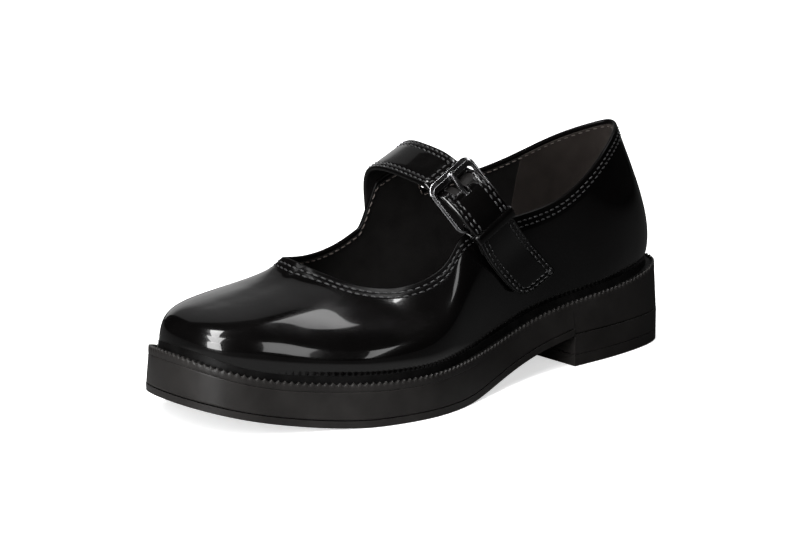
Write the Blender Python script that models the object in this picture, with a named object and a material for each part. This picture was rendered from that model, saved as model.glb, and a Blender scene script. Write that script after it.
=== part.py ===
"""Left Mary Jane shoe: rubber platform sole with block heel, welt, patent upper, buckled strap.

Lengths in the tables are millimetres. A station is the distance from the back of the heel
towards the toe; side is across the shoe, positive to the wearer's left; height is above the floor.
"""
import bpy
import numpy as np

MM = 0.001
SHOE_LENGTH = 268.0
SEAT_COLUMNS = 15
FORE_COLUMNS = 36
UPPER_COLUMNS = 120
UPPER_ROWS = 11
GAP = 0.3

TREAD_THICKNESS = 3.0
HEEL_BREAST = 70.0
HEEL_LIFT_HEIGHT = 5.0
HEEL_BLOCK_TOP = 14.5
WELT_THICKNESS = 3.8
WELT_SETBACK = 1.3
WELT_INNER = 10.5
LEDGE_RISE = 1.8
FEATHER_INSET = 5.8
WALL = 1.8
FLIP_REACH = 8.5
SEAT_DROP = 1.2
SEAT_INSET = 11.2
INSOLE_INSET = 8.2
INSOLE_THICKNESS = 3.2
INSOLE_ROUND = 0.8

STRAP_THICKNESS = 2.0
STRAP_STATIONS = 52
STRAP_POINTS = 5
CORNER_STEPS = 5
KEEPER_AT = 127.3
KEEPER_WIDTH = 4.5
KEEPER_THICKNESS = 0.9
KEEPER_CORNER = 0.6
STRAP_FRONT_CORNER = 8.0
STRAP_BACK_CORNER = 2.2
STRAP_ROOT_CORNER = 4.0

# Sole outline: one row for each station, side of the inner and of the outer edge.
OUTLINE = (
    # station, inner, outer
    (4.0, -16.5, 13.6),
    (12.0, -24.5, 20.2),
    (24.0, -30.0, 24.6),
    (45.0, -32.4, 28.6),
    (70.0, -32.4, 30.6),
    (92.0, -32.2, 32.4),
    (112.0, -32.4, 36.8),
    (132.0, -34.2, 43.6),
    (150.0, -37.2, 50.0),
    (167.0, -41.2, 53.8),
    (184.0, -44.8, 53.4),
    (200.0, -46.5, 49.8),
    (216.0, -46.6, 43.0),
    (232.0, -44.4, 36.8),
    (247.0, -39.4, 31.4),
    (258.0, -30.6, 25.0),
    (265.0, -18.6, 15.6),
)
TOE_SIDE = -4.0

# Sole heights: underside of the forepart and shank, and top edge of the sole wall.
UNDERSIDE = (
    # station, height
    (70.0, 14.0),
    (85.0, 11.6),
    (100.0, 8.8),
    (112.0, 6.3),
    (125.0, 3.6),
    (135.0, 1.7),
    (146.0, 0.3),
    (158.0, 0.0),
    (200.0, 0.0),
    (215.0, 0.9),
    (230.0, 3.1),
    (245.0, 6.3),
    (258.0, 9.8),
    (268.0, 12.8),
)
TOP_EDGE = (
    # station, height
    (0.0, 37.8),
    (10.0, 35.9),
    (20.0, 34.2),
    (40.0, 31.9),
    (60.0, 30.4),
    (80.0, 28.4),
    (100.0, 25.0),
    (115.0, 22.3),
    (130.0, 20.4),
    (150.0, 19.0),
    (170.0, 18.4),
    (190.0, 18.5),
    (210.0, 19.4),
    (230.0, 21.6),
    (245.0, 24.8),
    (258.0, 28.9),
    (268.0, 32.8),
)

# Ribs of the last, from the heel round the outer side to the toe and back along the inner side.
# Each rib climbs from the feather line at its station to a point of the topline. lean is the
# outward tilt of its foot and rise the slope of its top, both in degrees; foot and top are the
# lengths of the handles that bend it. flip is how far the edge of the throat turns up.
RIBS = (
    # half, station, top side, top station, top height, foot, lean, top, rise, flip
    ("outer", 0.0, -2.0, 18.0, 100.4, 18.0, 20.0, 20.0, 70.0, 0.0),
    ("outer", 14.0, 10.0, 28.0, 97.8, 17.0, 18.0, 20.0, 72.0, 0.0),
    ("outer", 32.0, 19.5, 44.0, 91.3, 18.0, 20.0, 22.0, 76.0, 0.0),
    ("outer", 55.0, 24.5, 61.0, 82.0, 15.0, 17.0, 16.0, 82.0, 0.0),
    ("outer", 80.0, 26.5, 80.0, 74.5, 14.0, 16.0, 15.0, 83.0, 0.0),
    ("outer", 103.0, 28.5, 101.0, 72.0, 14.0, 14.0, 15.0, 82.0, 0.0),
    ("outer", 125.0, 31.5, 123.0, 71.0, 15.0, 10.0, 16.0, 76.0, 0.0),
    ("outer", 145.0, 34.0, 140.5, 67.3, 16.0, 10.0, 16.0, 69.0, 0.0),
    ("outer", 160.0, 34.0, 149.6, 57.6, 15.0, 13.0, 15.0, 60.0, 0.0),
    ("outer", 178.0, 30.0, 163.5, 50.8, 15.5, 19.0, 16.0, 45.0, 0.3),
    ("outer", 198.0, 21.0, 173.0, 48.3, 16.5, 24.0, 20.0, 29.0, 1.0),
    ("outer", 218.0, 11.0, 180.1, 48.6, 16.5, 24.0, 28.0, 18.0, 1.7),
    ("outer", 238.0, 2.5, 185.3, 50.5, 15.0, 18.0, 42.0, 9.0, 2.3),
    ("outer", 256.0, -3.5, 189.4, 52.3, 15.0, 11.0, 54.0, 8.5, 2.9),
    ("inner", 268.0, -9.0, 191.9, 53.6, 17.0, 3.0, 53.0, 11.0, 3.1),
    ("inner", 254.0, -14.0, 193.4, 54.6, 22.0, -3.0, 41.0, 15.0, 3.3),
    ("inner", 238.0, -20.0, 192.6, 55.4, 21.5, 4.0, 27.0, 22.0, 2.6),
    ("inner", 220.0, -25.5, 190.3, 55.6, 18.0, 11.0, 17.0, 34.0, 1.6),
    ("inner", 200.0, -30.0, 182.4, 54.8, 17.0, 11.0, 14.0, 47.0, 0.6),
    ("inner", 178.0, -33.2, 169.8, 54.0, 16.0, 11.0, 13.0, 66.0, 0.0),
    ("inner", 155.0, -34.5, 152.0, 57.0, 15.0, 13.0, 13.0, 76.0, 0.0),
    ("inner", 132.0, -33.8, 133.0, 66.0, 15.0, 15.0, 16.0, 80.0, 0.0),
    ("inner", 106.0, -31.0, 108.0, 75.5, 16.0, 16.0, 18.0, 80.0, 0.0),
    ("inner", 80.0, -28.5, 80.0, 80.5, 16.0, 17.0, 18.0, 80.0, 0.0),
    ("inner", 55.0, -26.0, 57.0, 86.0, 17.0, 18.0, 18.0, 80.0, 0.0),
    ("inner", 32.0, -21.0, 36.0, 93.2, 18.0, 20.0, 20.0, 78.0, 0.0),
    ("inner", 14.0, -12.5, 22.5, 98.2, 20.0, 20.0, 23.0, 71.0, 0.0),
)

# Wings of the quarters that stand up under the strap: rise above the topline.
WINGS = (
    # half, rear station, front station, blend, rise
    ("inner", 112.0, 138.0, 9.0, 17.0),
)

# Strap: its front and rear edges at each station along it, from the inner side over the instep.
STRAP = (
    # front side, station, height, rear side, station, height
    (-36.2, 134.3, 46.0, -34.2, 113.3, 51.0),
    (-36.5, 135.1, 57.0, -34.6, 114.2, 63.0),
    (-35.7, 136.3, 69.0, -33.8, 115.8, 76.5),
    (-34.1, 138.3, 80.0, -31.9, 118.6, 88.6),
    (-28.3, 141.2, 87.8, -27.3, 121.4, 97.0),
    (-16.7, 144.0, 91.3, -17.7, 124.1, 101.3),
    (-2.5, 146.0, 91.5, -4.5, 126.7, 101.8),
    (12.0, 147.2, 90.4, 10.2, 127.6, 100.0),
    (21.5, 147.3, 88.2, 19.2, 127.5, 96.4),
    (24.8, 145.8, 85.5, 22.7, 126.1, 94.3),
    (28.0, 145.0, 84.5, 26.5, 125.5, 94.5),
    (31.0, 144.1, 82.7, 29.7, 124.7, 92.8),
    (34.5, 142.5, 79.4, 33.2, 123.0, 89.6),
    (37.2, 140.6, 75.5, 35.8, 121.1, 85.6),
    (39.4, 138.5, 71.8, 37.6, 118.8, 81.8),
    (40.5, 136.0, 67.7, 37.9, 115.6, 77.0),
    (40.2, 132.6, 62.4, 36.6, 110.8, 71.2),
    (38.4, 127.6, 56.9, 33.7, 104.2, 65.3),
    (36.2, 121.4, 51.2, 31.4, 98.0, 60.2),
    (35.2, 115.0, 45.4, 30.6, 91.6, 54.4),
    (34.4, 109.8, 41.0, 29.9, 86.4, 49.6),
    (33.6, 104.6, 36.7, 29.3, 80.8, 44.6),
)

# Buckle: middle of its upper and lower bar, and the way across it towards the heel.
BUCKLE_TOP = (24.42, 138.28, 94.06)
BUCKLE_LOW = (34.04, 128.38, 76.29)
BUCKLE_ACROSS = (-0.058, -0.885, 0.462)

# Buckle frame: loops round the four bars, from the outer edge over the ridge to the opening.
# Ends are measured down from the middle of the upper bar, height outward from the foot.
FRAME = (
    # half width, upper end, lower end, corner radius, height
    (13.8, -2.3, 23.5, 4.6, -1.0),
    (13.8, -2.3, 23.5, 4.6, 0.2),
    (12.9, -0.3, 22.7, 3.6, 1.0),
    (11.9, 2.1, 21.6, 2.2, 0.4),
    (11.8, 2.2, 21.5, 2.0, -1.0),
)
BAR_REACH = 1.35

# Prong: from its hook round the lower bar to its tip on the ridge of the upper one.
PRONG = (
    # distance down from the upper bar, height, half width
    (-1.3, 1.55, 0.7),
    (-0.3, 1.75, 0.9),
    (1.5, 1.65, 1.0),
    (6.0, 1.3, 1.3),
    (9.0, 0.95, 1.3),
    (17.0, 0.85, 1.2),
)
PRONG_THICKNESS = 1.1

# Leaf of the tab on the outer quarter, from its lower end to the buckle's lower bar.
TAB = (
    # front side, station, height, rear side, station, height
    (37.0, 130.4, 60.4, 32.9, 111.4, 68.6),
    (36.9, 132.6, 64.2, 33.1, 113.2, 71.4),
    (36.9, 134.6, 67.6, 33.1, 115.0, 74.6),
)
TAB_HALF = 10.4
TAB_THICKNESS = 1.4
TAB_TURNS = 9

# Openings the prong passes through: half width, upper end, lower end, inner and outer height.
STRAP_HOLE = (1.7, 3.4, 10.6, -6.0, 6.0)
TAB_SLOT = (1.8, 18.4, 26.6, -4.0, 4.0)


def cubic(knots, values, period=None):
    """Smooth curve through the rows of a table: natural at its ends, or closed over a period."""
    knots = np.asarray(knots, float)
    values = np.asarray(values, float)
    flat = values.ndim == 1
    values = values.reshape(len(knots), -1)
    if period:
        knots = np.append(knots, knots[0] + period)
        values = np.vstack([values, values[0]])
    steps = np.diff(knots)
    slopes = np.diff(values, axis=0) / steps[:, None]
    rows = len(knots)
    system = np.eye(rows)
    right = np.zeros(values.shape)
    for row in range(1, rows - 1):
        system[row, row - 1:row + 2] = steps[row - 1], 2 * (steps[row - 1] + steps[row]), steps[row]
        right[row] = 6 * (slopes[row] - slopes[row - 1])
    if period:
        system[0] = 0
        system[0, 0] = 2 * (steps[0] + steps[-1])
        system[0, 1] = steps[0]
        system[0, -2] = steps[-1]
        right[0] = 6 * (slopes[0] - slopes[-1])
        system[-1, 0] = -1
    bends = np.linalg.solve(system, right)

    def curve(at):
        at = np.asarray(at, float)
        if period:
            at = knots[0] + (at - knots[0]) % period
        k = np.clip(np.searchsorted(knots, at, side="right") - 1, 0, rows - 2)
        width = steps[k][..., None]
        a = (knots[k + 1] - at)[..., None] / width
        b = 1 - a
        low, high = values[k], values[k + 1]
        bend = ((a ** 3 - a) * bends[k] + (b ** 3 - b) * bends[k + 1]) * width ** 2 / 6
        result = a * low + b * high + bend
        return result[..., 0] if flat else result

    return curve


def column(table, *places):
    """Chosen columns of a table as an array."""
    return np.array([[row[place] for place in places] for row in table], float).squeeze()


def smooth_step(x):
    x = np.clip(x, 0, 1)
    return x * x * (3 - 2 * x)


def unit(vectors):
    return vectors / np.linalg.norm(vectors, axis=-1, keepdims=True)


def outline_curve():
    """Closed plan curve (side, station) of the sole, and its arc position at the toe."""
    outer = [(row[2], row[0]) for row in OUTLINE]
    inner = [(row[1], row[0]) for row in reversed(OUTLINE)]
    points = np.array([(0.0, 0.0)] + outer + [(TOE_SIDE, SHOE_LENGTH)] + inner)
    closing = np.vstack([points, points[:1]])
    arcs = np.append(0, np.cumsum(np.linalg.norm(np.diff(closing, axis=0), axis=1)))
    return cubic(arcs[:-1], points, arcs[-1]), arcs[len(outer) + 1], arcs[-1]


PLAN, TOE_ARC, FULL_ARC = outline_curve()
TOP_HEIGHT = cubic(column(TOP_EDGE, 0), column(TOP_EDGE, 1))
UNDERSIDE_CURVE = cubic(column(UNDERSIDE, 0), column(UNDERSIDE, 1))


def low_height(station):
    """Underside of the forepart and shank, never below the floor."""
    return np.maximum(UNDERSIDE_CURVE(station), 0)


def plan_at(arc, inset):
    """Plan points set in from the sole outline along its normal."""
    arc = np.asarray(arc, float)
    along = unit(PLAN(arc + 0.5) - PLAN(arc - 0.5))
    inward = np.stack([-along[..., 1], along[..., 0]], -1)
    return PLAN(arc) + inward * np.asarray(inset)[..., None], inward


def ring_arcs(count):
    """Arc positions round the outline: the same number on the outer and the inner half."""
    half = count // 2
    outer = np.linspace(0, TOE_ARC, half, endpoint=False)
    inner = np.linspace(TOE_ARC, FULL_ARC, half, endpoint=False)
    return np.append(outer, inner)


def arc_of(half, station):
    """Arc position of a station on one half of the outline."""
    low, high = (0.0, TOE_ARC) if half == "outer" else (TOE_ARC, FULL_ARC)
    arcs = np.linspace(low, high, 1200)
    return arcs[np.argmin(np.abs(PLAN(arcs)[:, 1] - station))]


def place(points):
    """World position in metres of points given as side, station, height in millimetres."""
    points = np.asarray(points, float)
    spread = PLAN(np.linspace(0, FULL_ARC, 2000))
    middle = (spread.min(axis=0) + spread.max(axis=0)) / 2
    return np.stack([points[..., 0] - middle[0], middle[1] - points[..., 1], points[..., 2]], -1) * MM


def add_object(name, verts, faces, look, smooth=True):
    """Mesh object of one piece with its own material; its faces are turned outwards."""
    mesh = bpy.data.meshes.new(name)
    mesh.from_pydata([tuple(v) for v in place(verts)], [], faces)
    corners = np.array([mesh.vertices[i].co for f in mesh.polygons for i in fan(f.vertices)])
    triangles = corners.reshape(-1, 3, 3)
    volume = np.einsum("ij,ij->i", triangles[:, 0], np.cross(triangles[:, 1], triangles[:, 2])).sum()
    if volume < 0:
        mesh.flip_normals()
    mesh.shade_smooth() if smooth else mesh.shade_flat()
    mesh.set_sharp_from_angle(angle=np.radians(40))
    colour, roughness, metallic = look
    material = bpy.data.materials.new(name)
    material.use_nodes = True
    shader = material.node_tree.nodes["Principled BSDF"]
    shader.inputs["Base Color"].default_value = (*colour, 1)
    shader.inputs["Roughness"].default_value = roughness
    shader.inputs["Metallic"].default_value = metallic
    mesh.materials.append(material)
    made = bpy.data.objects.new(name, mesh)
    bpy.context.scene.collection.objects.link(made)
    return made


def fan(corners):
    """Corner numbers of the triangles that fan out from a face's first corner."""
    return [i for k in range(1, len(corners) - 1) for i in (corners[0], corners[k], corners[k + 1])]


def stacked(name, loops, caps, look):
    """Solid through a stack of equal closed loops, with faces given once to close each end."""
    size = len(loops[0])
    faces = []
    for layer in range(len(loops) - 1):
        for k in range(size):
            after = (k + 1) % size
            low, high = layer * size, (layer + 1) * size
            faces.append((low + k, low + after, high + after, high + k))
    last = (len(loops) - 1) * size
    faces += [tuple(reversed(cap)) for cap in caps]
    faces += [tuple(last + i for i in cap) for cap in caps]
    return add_object(name, np.vstack(loops), faces, look)


def cross_caps(size, lead=0):
    """Faces that close a loop by strips from its outer to its inner half."""
    caps = []
    for k in range(lead, size // 2):
        strip = (k, k + 1, (size - k - 1) % size, (size - k) % size)
        caps.append(tuple(dict.fromkeys(strip)))
    return caps


def tube(name, loops, look):
    """Solid closed both ways: each loop runs round the shoe, and the loops run round its wall."""
    size = len(loops[0])
    count = len(loops)
    faces = []
    for layer in range(count):
        low, high = layer * size, ((layer + 1) % count) * size
        for k in range(size):
            after = (k + 1) % size
            faces.append((low + k, low + after, high + after, high + k))
    return add_object(name, np.vstack(loops), faces, look)


def with_height(plan, heights):
    return np.column_stack([plan, heights])


def layer_loop(arcs, inset, height):
    """Closed loop at an inset from the outline; height is a function of station."""
    plan, _ = plan_at(arcs, np.full(len(arcs), inset))
    return with_height(plan, height(PLAN(arcs)[:, 1]))


def sole_arcs():
    """Arcs of the heel seat and of the forepart, each along the outer side and then back."""
    outer_breast, inner_breast = arc_of("outer", HEEL_BREAST), arc_of("inner", HEEL_BREAST)
    seat_outer = np.linspace(0, outer_breast, SEAT_COLUMNS)
    seat_inner = np.linspace(inner_breast, FULL_ARC, SEAT_COLUMNS)[:-1]
    fore_outer = np.linspace(outer_breast + GAP, TOE_ARC, FORE_COLUMNS)
    fore_inner = np.linspace(TOE_ARC, inner_breast - GAP, FORE_COLUMNS)[1:]
    return seat_outer, fore_outer, fore_inner, seat_inner


def whole_arcs():
    """Arcs round the whole sole."""
    return np.concatenate(sole_arcs())


RUBBER = ((0.022, 0.021, 0.020), 0.5, 0.0)
PATENT = ((0.006, 0.006, 0.006), 0.12, 0.0)
LINING = ((0.030, 0.024, 0.021), 0.8, 0.0)
METAL = ((0.16, 0.16, 0.17), 0.22, 1.0)


def heel_caps(size):
    """Strips across a heel loop, which starts at the back and meets the breast halfway."""
    caps = []
    half = (size - 1) // 2
    for k in range(half):
        strip = (k, k + 1, size - k - 1, (size - k) % size)
        caps.append(tuple(dict.fromkeys(strip)))
    return caps


def tread_caps(size):
    """Strips across a tread loop, which starts at the breast and meets the toe halfway."""
    caps = []
    for k in range(size // 2):
        strip = (k, k + 1, size - k - 2, size - k - 1)
        caps.append(tuple(dict.fromkeys(strip)))
    return caps


def make_heel():
    """Heel block and the lift it stands on."""
    seat_outer, _, _, seat_inner = sole_arcs()
    arcs = np.append(seat_outer, seat_inner)
    for name, bottom, top in (("heel_lift", 0.0, HEEL_LIFT_HEIGHT),
                              ("heel", HEEL_LIFT_HEIGHT + GAP, HEEL_BLOCK_TOP)):
        loops = [layer_loop(arcs, 0.0, lambda s, z=z: np.full(len(s), z)) for z in (bottom, top)]
        stacked(name, loops, heel_caps(len(arcs)), RUBBER)


def make_outsole():
    """Tread under the forepart and shank, up to the heel's breast."""
    _, fore_outer, fore_inner, _ = sole_arcs()
    arcs = np.append(fore_outer, fore_inner)
    loops = [layer_loop(arcs, 0.0, lambda s, h=h: low_height(s) + h) for h in (0, TREAD_THICKNESS)]
    stacked("outsole", loops, tread_caps(len(arcs)), RUBBER)


def midsole_floor(station):
    """Underside of the platform: on the heel block behind the breast, on the tread before it."""
    on_tread = low_height(np.maximum(station, HEEL_BREAST)) + TREAD_THICKNESS + GAP
    return np.where(station < HEEL_BREAST + GAP / 2, HEEL_BLOCK_TOP + GAP, on_tread)


def make_midsole():
    """Platform in one piece, with a rim for the welt and a raised seat for the insole."""
    arcs = whole_arcs()
    low = layer_loop(arcs, 0.2, midsole_floor)
    rim = layer_loop(arcs, WELT_SETBACK - 0.1, lambda s: TOP_HEIGHT(s) - WELT_THICKNESS - GAP)
    under, foot = (layer_loop(arcs, inset, lambda s: TOP_HEIGHT(s) - WELT_THICKNESS - GAP)
                   for inset in (WELT_INNER, SEAT_INSET))
    seat = layer_loop(arcs, SEAT_INSET, lambda s: TOP_HEIGHT(s) + LEDGE_RISE - SEAT_DROP)
    stacked("midsole", [low, rim, under, foot, seat], cross_caps(len(arcs)), RUBBER)


def make_welt():
    """Band on the platform's edge that the upper stands on."""
    arcs = whole_arcs()
    profile = ((WELT_SETBACK - 0.1, -WELT_THICKNESS), (WELT_INNER, -WELT_THICKNESS),
               (WELT_INNER, LEDGE_RISE), (FEATHER_INSET - 0.6, LEDGE_RISE), (WELT_SETBACK, 0.0))
    loops = [layer_loop(arcs, inset, lambda s, r=rise: TOP_HEIGHT(s) + r) for inset, rise in profile]
    tube("welt", loops, RUBBER)


def make_insole():
    """Sock and footbed with a rounded edge."""
    arcs = whole_arcs()
    base = LEDGE_RISE + GAP
    crown = base + INSOLE_THICKNESS
    profile = ((SEAT_INSET, base), (INSOLE_INSET + INSOLE_ROUND, base), (INSOLE_INSET, base + INSOLE_ROUND),
               (INSOLE_INSET, crown - INSOLE_ROUND), (INSOLE_INSET + INSOLE_ROUND, crown),
               (SEAT_INSET, crown))
    loops = [layer_loop(arcs, inset, lambda s, r=rise: TOP_HEIGHT(s) + r) for inset, rise in profile]
    stacked("insole", loops, cross_caps(len(arcs)), LINING)


def rib_curves(arcs, spans):
    """Points of the last's surface: one column for each arc, one row for each share of a rib.

    Shares over 1 carry on straight beyond the topline.
    """
    rib_arcs = np.array([arc_of(row[0], row[1]) for row in RIBS])
    rib_arcs[0] = 0.0
    table = cubic(rib_arcs, column(RIBS, 2, 3, 4, 5, 6, 7, 8, 9), FULL_ARC)(arcs)
    feather, inward = plan_at(arcs, np.full(len(arcs), FEATHER_INSET))
    foot = with_height(feather, TOP_HEIGHT(PLAN(arcs)[:, 1]) + LEDGE_RISE + GAP)
    top = table[:, :3]
    lean, rise = np.radians(table[:, 4]), np.radians(table[:, 6])
    heading = unit(25.0 * inward + top[:, :2] - feather)
    out = with_height(-inward * np.sin(lean)[:, None], np.cos(lean))
    end = with_height(heading * np.cos(rise)[:, None], np.sin(rise))
    first = foot + out * table[:, 3:4]
    second = top - end * table[:, 5:6]
    rows = []
    for span in spans:
        t = np.minimum(span, 1)[:, None]
        over = np.maximum(span - 1, 0)[:, None]
        bezier = (1 - t) ** 3 * foot + 3 * (1 - t) ** 2 * t * first
        bezier += 3 * (1 - t) * t ** 2 * second + t ** 3 * top
        turned = np.maximum(1 - 3 * (1 - t) * table[:, 5:6] / FLIP_REACH, 0)
        bezier[:, 2:] += table[:, 7:] * turned ** 2
        rows.append(bezier + over * end * table[:, 5:6] * 3)
    return np.array(rows), table


def wing_rise(table, arcs):
    """How far each rib carries on beyond the topline, in millimetres."""
    rise = np.zeros(len(arcs))
    for half, rear, front, blend, height in WINGS:
        on_half = arcs < TOE_ARC if half == "outer" else arcs > TOE_ARC
        station = table[:, 1]
        shape = smooth_step((station - rear) / blend + 0.5) * smooth_step((front - station) / blend + 0.5)
        rise = np.where(on_half, np.maximum(rise, height * shape), rise)
    return rise


def upper_surface(arcs, rows):
    """Outer face of the upper from the feather line to the topline and the wings' edges."""
    _, table = rib_curves(arcs, [np.zeros(len(arcs))])
    reach = 1 + wing_rise(table, arcs) / (3 * table[:, 5])
    spans = [reach * k / rows for k in range(rows + 1)]
    return rib_curves(arcs, spans)[0]


def inward_shift(surface, depth):
    """The same surface moved by a depth towards the foot, square to itself."""
    round_shoe = np.roll(surface, -1, axis=1) - np.roll(surface, 1, axis=1)
    climb = np.gradient(surface, axis=0)
    normal = unit(np.cross(climb, round_shoe))
    return surface + normal * depth


def make_upper():
    """Wall round the foot: up the outer face, over the collar and down the inner face."""
    arcs = ring_arcs(UPPER_COLUMNS)
    outer = upper_surface(arcs, UPPER_ROWS)
    inner = inward_shift(outer, WALL)
    inner[0, :, 2] = outer[0, :, 2]
    loops = list(outer) + list(inner[::-1])
    return tube("upper", loops, PATENT)


def ribbon(name, front, rear, thickness, points, look):
    """A strip between two edges, its faces slightly crowned, with square ends."""
    ahead = np.gradient((front + rear) / 2, axis=0)
    normal = unit(np.cross(rear - front, ahead))
    shares = np.linspace(0, 1, points)[:, None]
    bulge = thickness / 2 * (0.7 + 0.3 * np.minimum(1, 16 * shares * (1 - shares)))
    loops = []
    for low, high, out in zip(front, rear, normal):
        row = low * (1 - shares) + high * shares
        loops.append(np.vstack([row + out * bulge, (row - out * bulge)[::-1]]))
    size = 2 * points
    caps = [(k, k + 1, size - k - 2, size - k - 1) for k in range(points - 1)]
    return stacked(name, loops, caps, look)


def corner_inset(distance, radius):
    """How far a rounded corner draws an edge in, at a distance from the strap's end."""
    short = np.clip(radius - distance, 0, radius)
    return radius - np.sqrt(radius ** 2 - short ** 2)


def strap_curves():
    """Front and rear edge of the strap as curves of the distance from its root, and its length."""
    front, rear = column(STRAP, 0, 1, 2), column(STRAP, 3, 4, 5)
    steps = np.linalg.norm(np.diff((front + rear) / 2, axis=0), axis=1)
    along = np.append(0, np.cumsum(steps))
    return cubic(along, front), cubic(along, rear), along[-1]


def strap_edges(at):
    """Edges of the strap at distances from its root, drawn in round its four corners."""
    front_curve, rear_curve, length = strap_curves()
    front, rear = front_curve(at), rear_curve(at)
    across = unit(rear - front)
    root = corner_inset(at, STRAP_ROOT_CORNER)
    front += across * (root + corner_inset(length - at, STRAP_FRONT_CORNER))[:, None]
    rear -= across * (root + corner_inset(length - at, STRAP_BACK_CORNER))[:, None]
    return front, rear


def buckle_point(across, along, height):
    """Points given across, down and outward from the middle of the buckle's upper bar."""
    top, low = np.array(BUCKLE_TOP), np.array(BUCKLE_LOW)
    down = unit(low - top)
    side = np.array(BUCKLE_ACROSS)
    side = unit(side - down * np.dot(side, down))
    out = np.cross(side, down)
    across, along, height = np.broadcast_arrays(across, along, height)
    return top + across[..., None] * side + along[..., None] * down + height[..., None] * out


def cut(target, cutter):
    """Take the cutter's shape out of the target."""
    cutter.hide_render = True
    cutter.display_type = "WIRE"
    boolean = target.modifiers.new("cut", "BOOLEAN")
    boolean.operation = "DIFFERENCE"
    boolean.solver = "EXACT"
    boolean.object = cutter


def buckle_block(name, size):
    """A box in the buckle's own directions, as a cutter."""
    half, start, end, low, high = size
    corners = ((-half, start), (half, start), (half, end), (-half, end))
    loops = [[buckle_point(a, b, z) for a, b in corners] for z in (low, high)]
    return stacked(name, loops, [(0, 1, 2, 3)], METAL)


def rounded_loop(half_width, upper, lower, radius):
    """Points across and along a rectangle with rounded corners."""
    middles = ((1, lower - radius), (-1, lower - radius), (-1, upper + radius), (1, upper + radius))
    angles = np.linspace(0, np.pi / 2, CORNER_STEPS)
    points = []
    for corner, (side, along) in enumerate(middles):
        turn = angles + corner * np.pi / 2
        across = side * (half_width - radius) + radius * np.cos(turn)
        points.append(np.column_stack([across, along + radius * np.sin(turn)]))
    return np.vstack(points)


def make_strap():
    """Strap from the inner quarter over the instep, through the buckle, to its rounded end."""
    turn = np.linspace(0, np.pi, STRAP_STATIONS)
    front, rear = strap_edges(strap_curves()[2] * (1 - np.cos(turn)) / 2)
    return ribbon("strap", front, rear, STRAP_THICKNESS, STRAP_POINTS, PATENT)


def make_buckle_frame():
    """Rounded rectangle with a wide bevelled upper bar."""
    loops = []
    for half_width, upper, lower, radius, height in FRAME:
        loop = rounded_loop(half_width, upper, lower, radius)
        loops.append(buckle_point(loop[:, 0], loop[:, 1], height))
    return tube("buckle_frame", loops, METAL)


def bar_turn(radius, start, end, steps):
    """Points along and out from the buckle's upper bar, on an arc round the lower one."""
    middle = np.linalg.norm(np.array(BUCKLE_LOW) - np.array(BUCKLE_TOP))
    turn = np.radians(np.linspace(start, end, steps))
    return middle + radius * np.cos(turn), radius * np.sin(turn)


def make_tab():
    """Leaf on the quarter, turned over the lower bar and back under it, with the prong's slot."""
    radius = BAR_REACH + GAP + TAB_THICKNESS / 2
    along, height = bar_turn(radius, 270, 15, TAB_TURNS)
    front = np.vstack([column(TAB, 0, 1, 2), buckle_point(-TAB_HALF, along, height)])
    rear = np.vstack([column(TAB, 3, 4, 5), buckle_point(TAB_HALF, along, height)])
    return ribbon("buckle_tab", front, rear, TAB_THICKNESS, 3, PATENT)


def make_prong():
    """Prong in one strip, hooked round the lower bar, with its tip on the upper one."""
    table = np.array(PRONG)
    radius = BAR_REACH + GAP + PRONG_THICKNESS / 2
    along, height = bar_turn(radius, 120, -120, TAB_TURNS)
    along, height = np.append(table[:, 0], along), np.append(table[:, 1], height)
    half = np.append(table[:, 2], np.full(TAB_TURNS, table[-1, 2]))
    front, rear = buckle_point(-half, along, height), buckle_point(half, along, height)
    return ribbon("buckle_prong", front, rear, PRONG_THICKNESS, 4, METAL)


def make_keeper():
    """A closed band round the strap, just below the buckle."""
    loops = []
    for share, grow in ((-0.5, 0), (0.5, 0), (0.5, KEEPER_THICKNESS), (-0.5, KEEPER_THICKNESS)):
        at = KEEPER_AT + share * KEEPER_WIDTH
        front, rear = strap_edges(np.array([at - 0.5, at, at + 0.5]))
        across = unit(rear - front)[1]
        out = unit(np.cross(across, np.gradient((front + rear) / 2, axis=0)[1]))
        half = np.linalg.norm(rear[1] - front[1]) / 2 + GAP + grow
        deep = STRAP_THICKNESS / 2 + GAP + grow
        ring = rounded_loop(half, -deep, deep, KEEPER_CORNER + grow)
        loops.append((front + rear)[1] / 2 + ring[:, :1] * across + ring[:, 1:] * out)
    return tube("keeper", loops, PATENT)


def clear_scene():
    for old in list(bpy.data.objects):
        bpy.data.objects.remove(old, do_unlink=True)


clear_scene()
make_heel()
make_outsole()
make_midsole()
make_welt()
make_insole()
make_upper()
cut(make_strap(), buckle_block("strap_hole", STRAP_HOLE))
make_keeper()
cut(make_tab(), buckle_block("tab_slot", TAB_SLOT))
make_buckle_frame()
make_prong()
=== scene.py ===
"""Looks of the left Mary Jane shoe: notched sole, patent skin, linings, stitching, strap and buckle.

Lengths in the tables are millimetres. A station is the distance from the back of the heel
towards the toe; side is across the shoe, positive to the wearer's left; height is above the floor.
"""

import bmesh
import bpy
import numpy as np
from mathutils import Matrix, Vector


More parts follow.
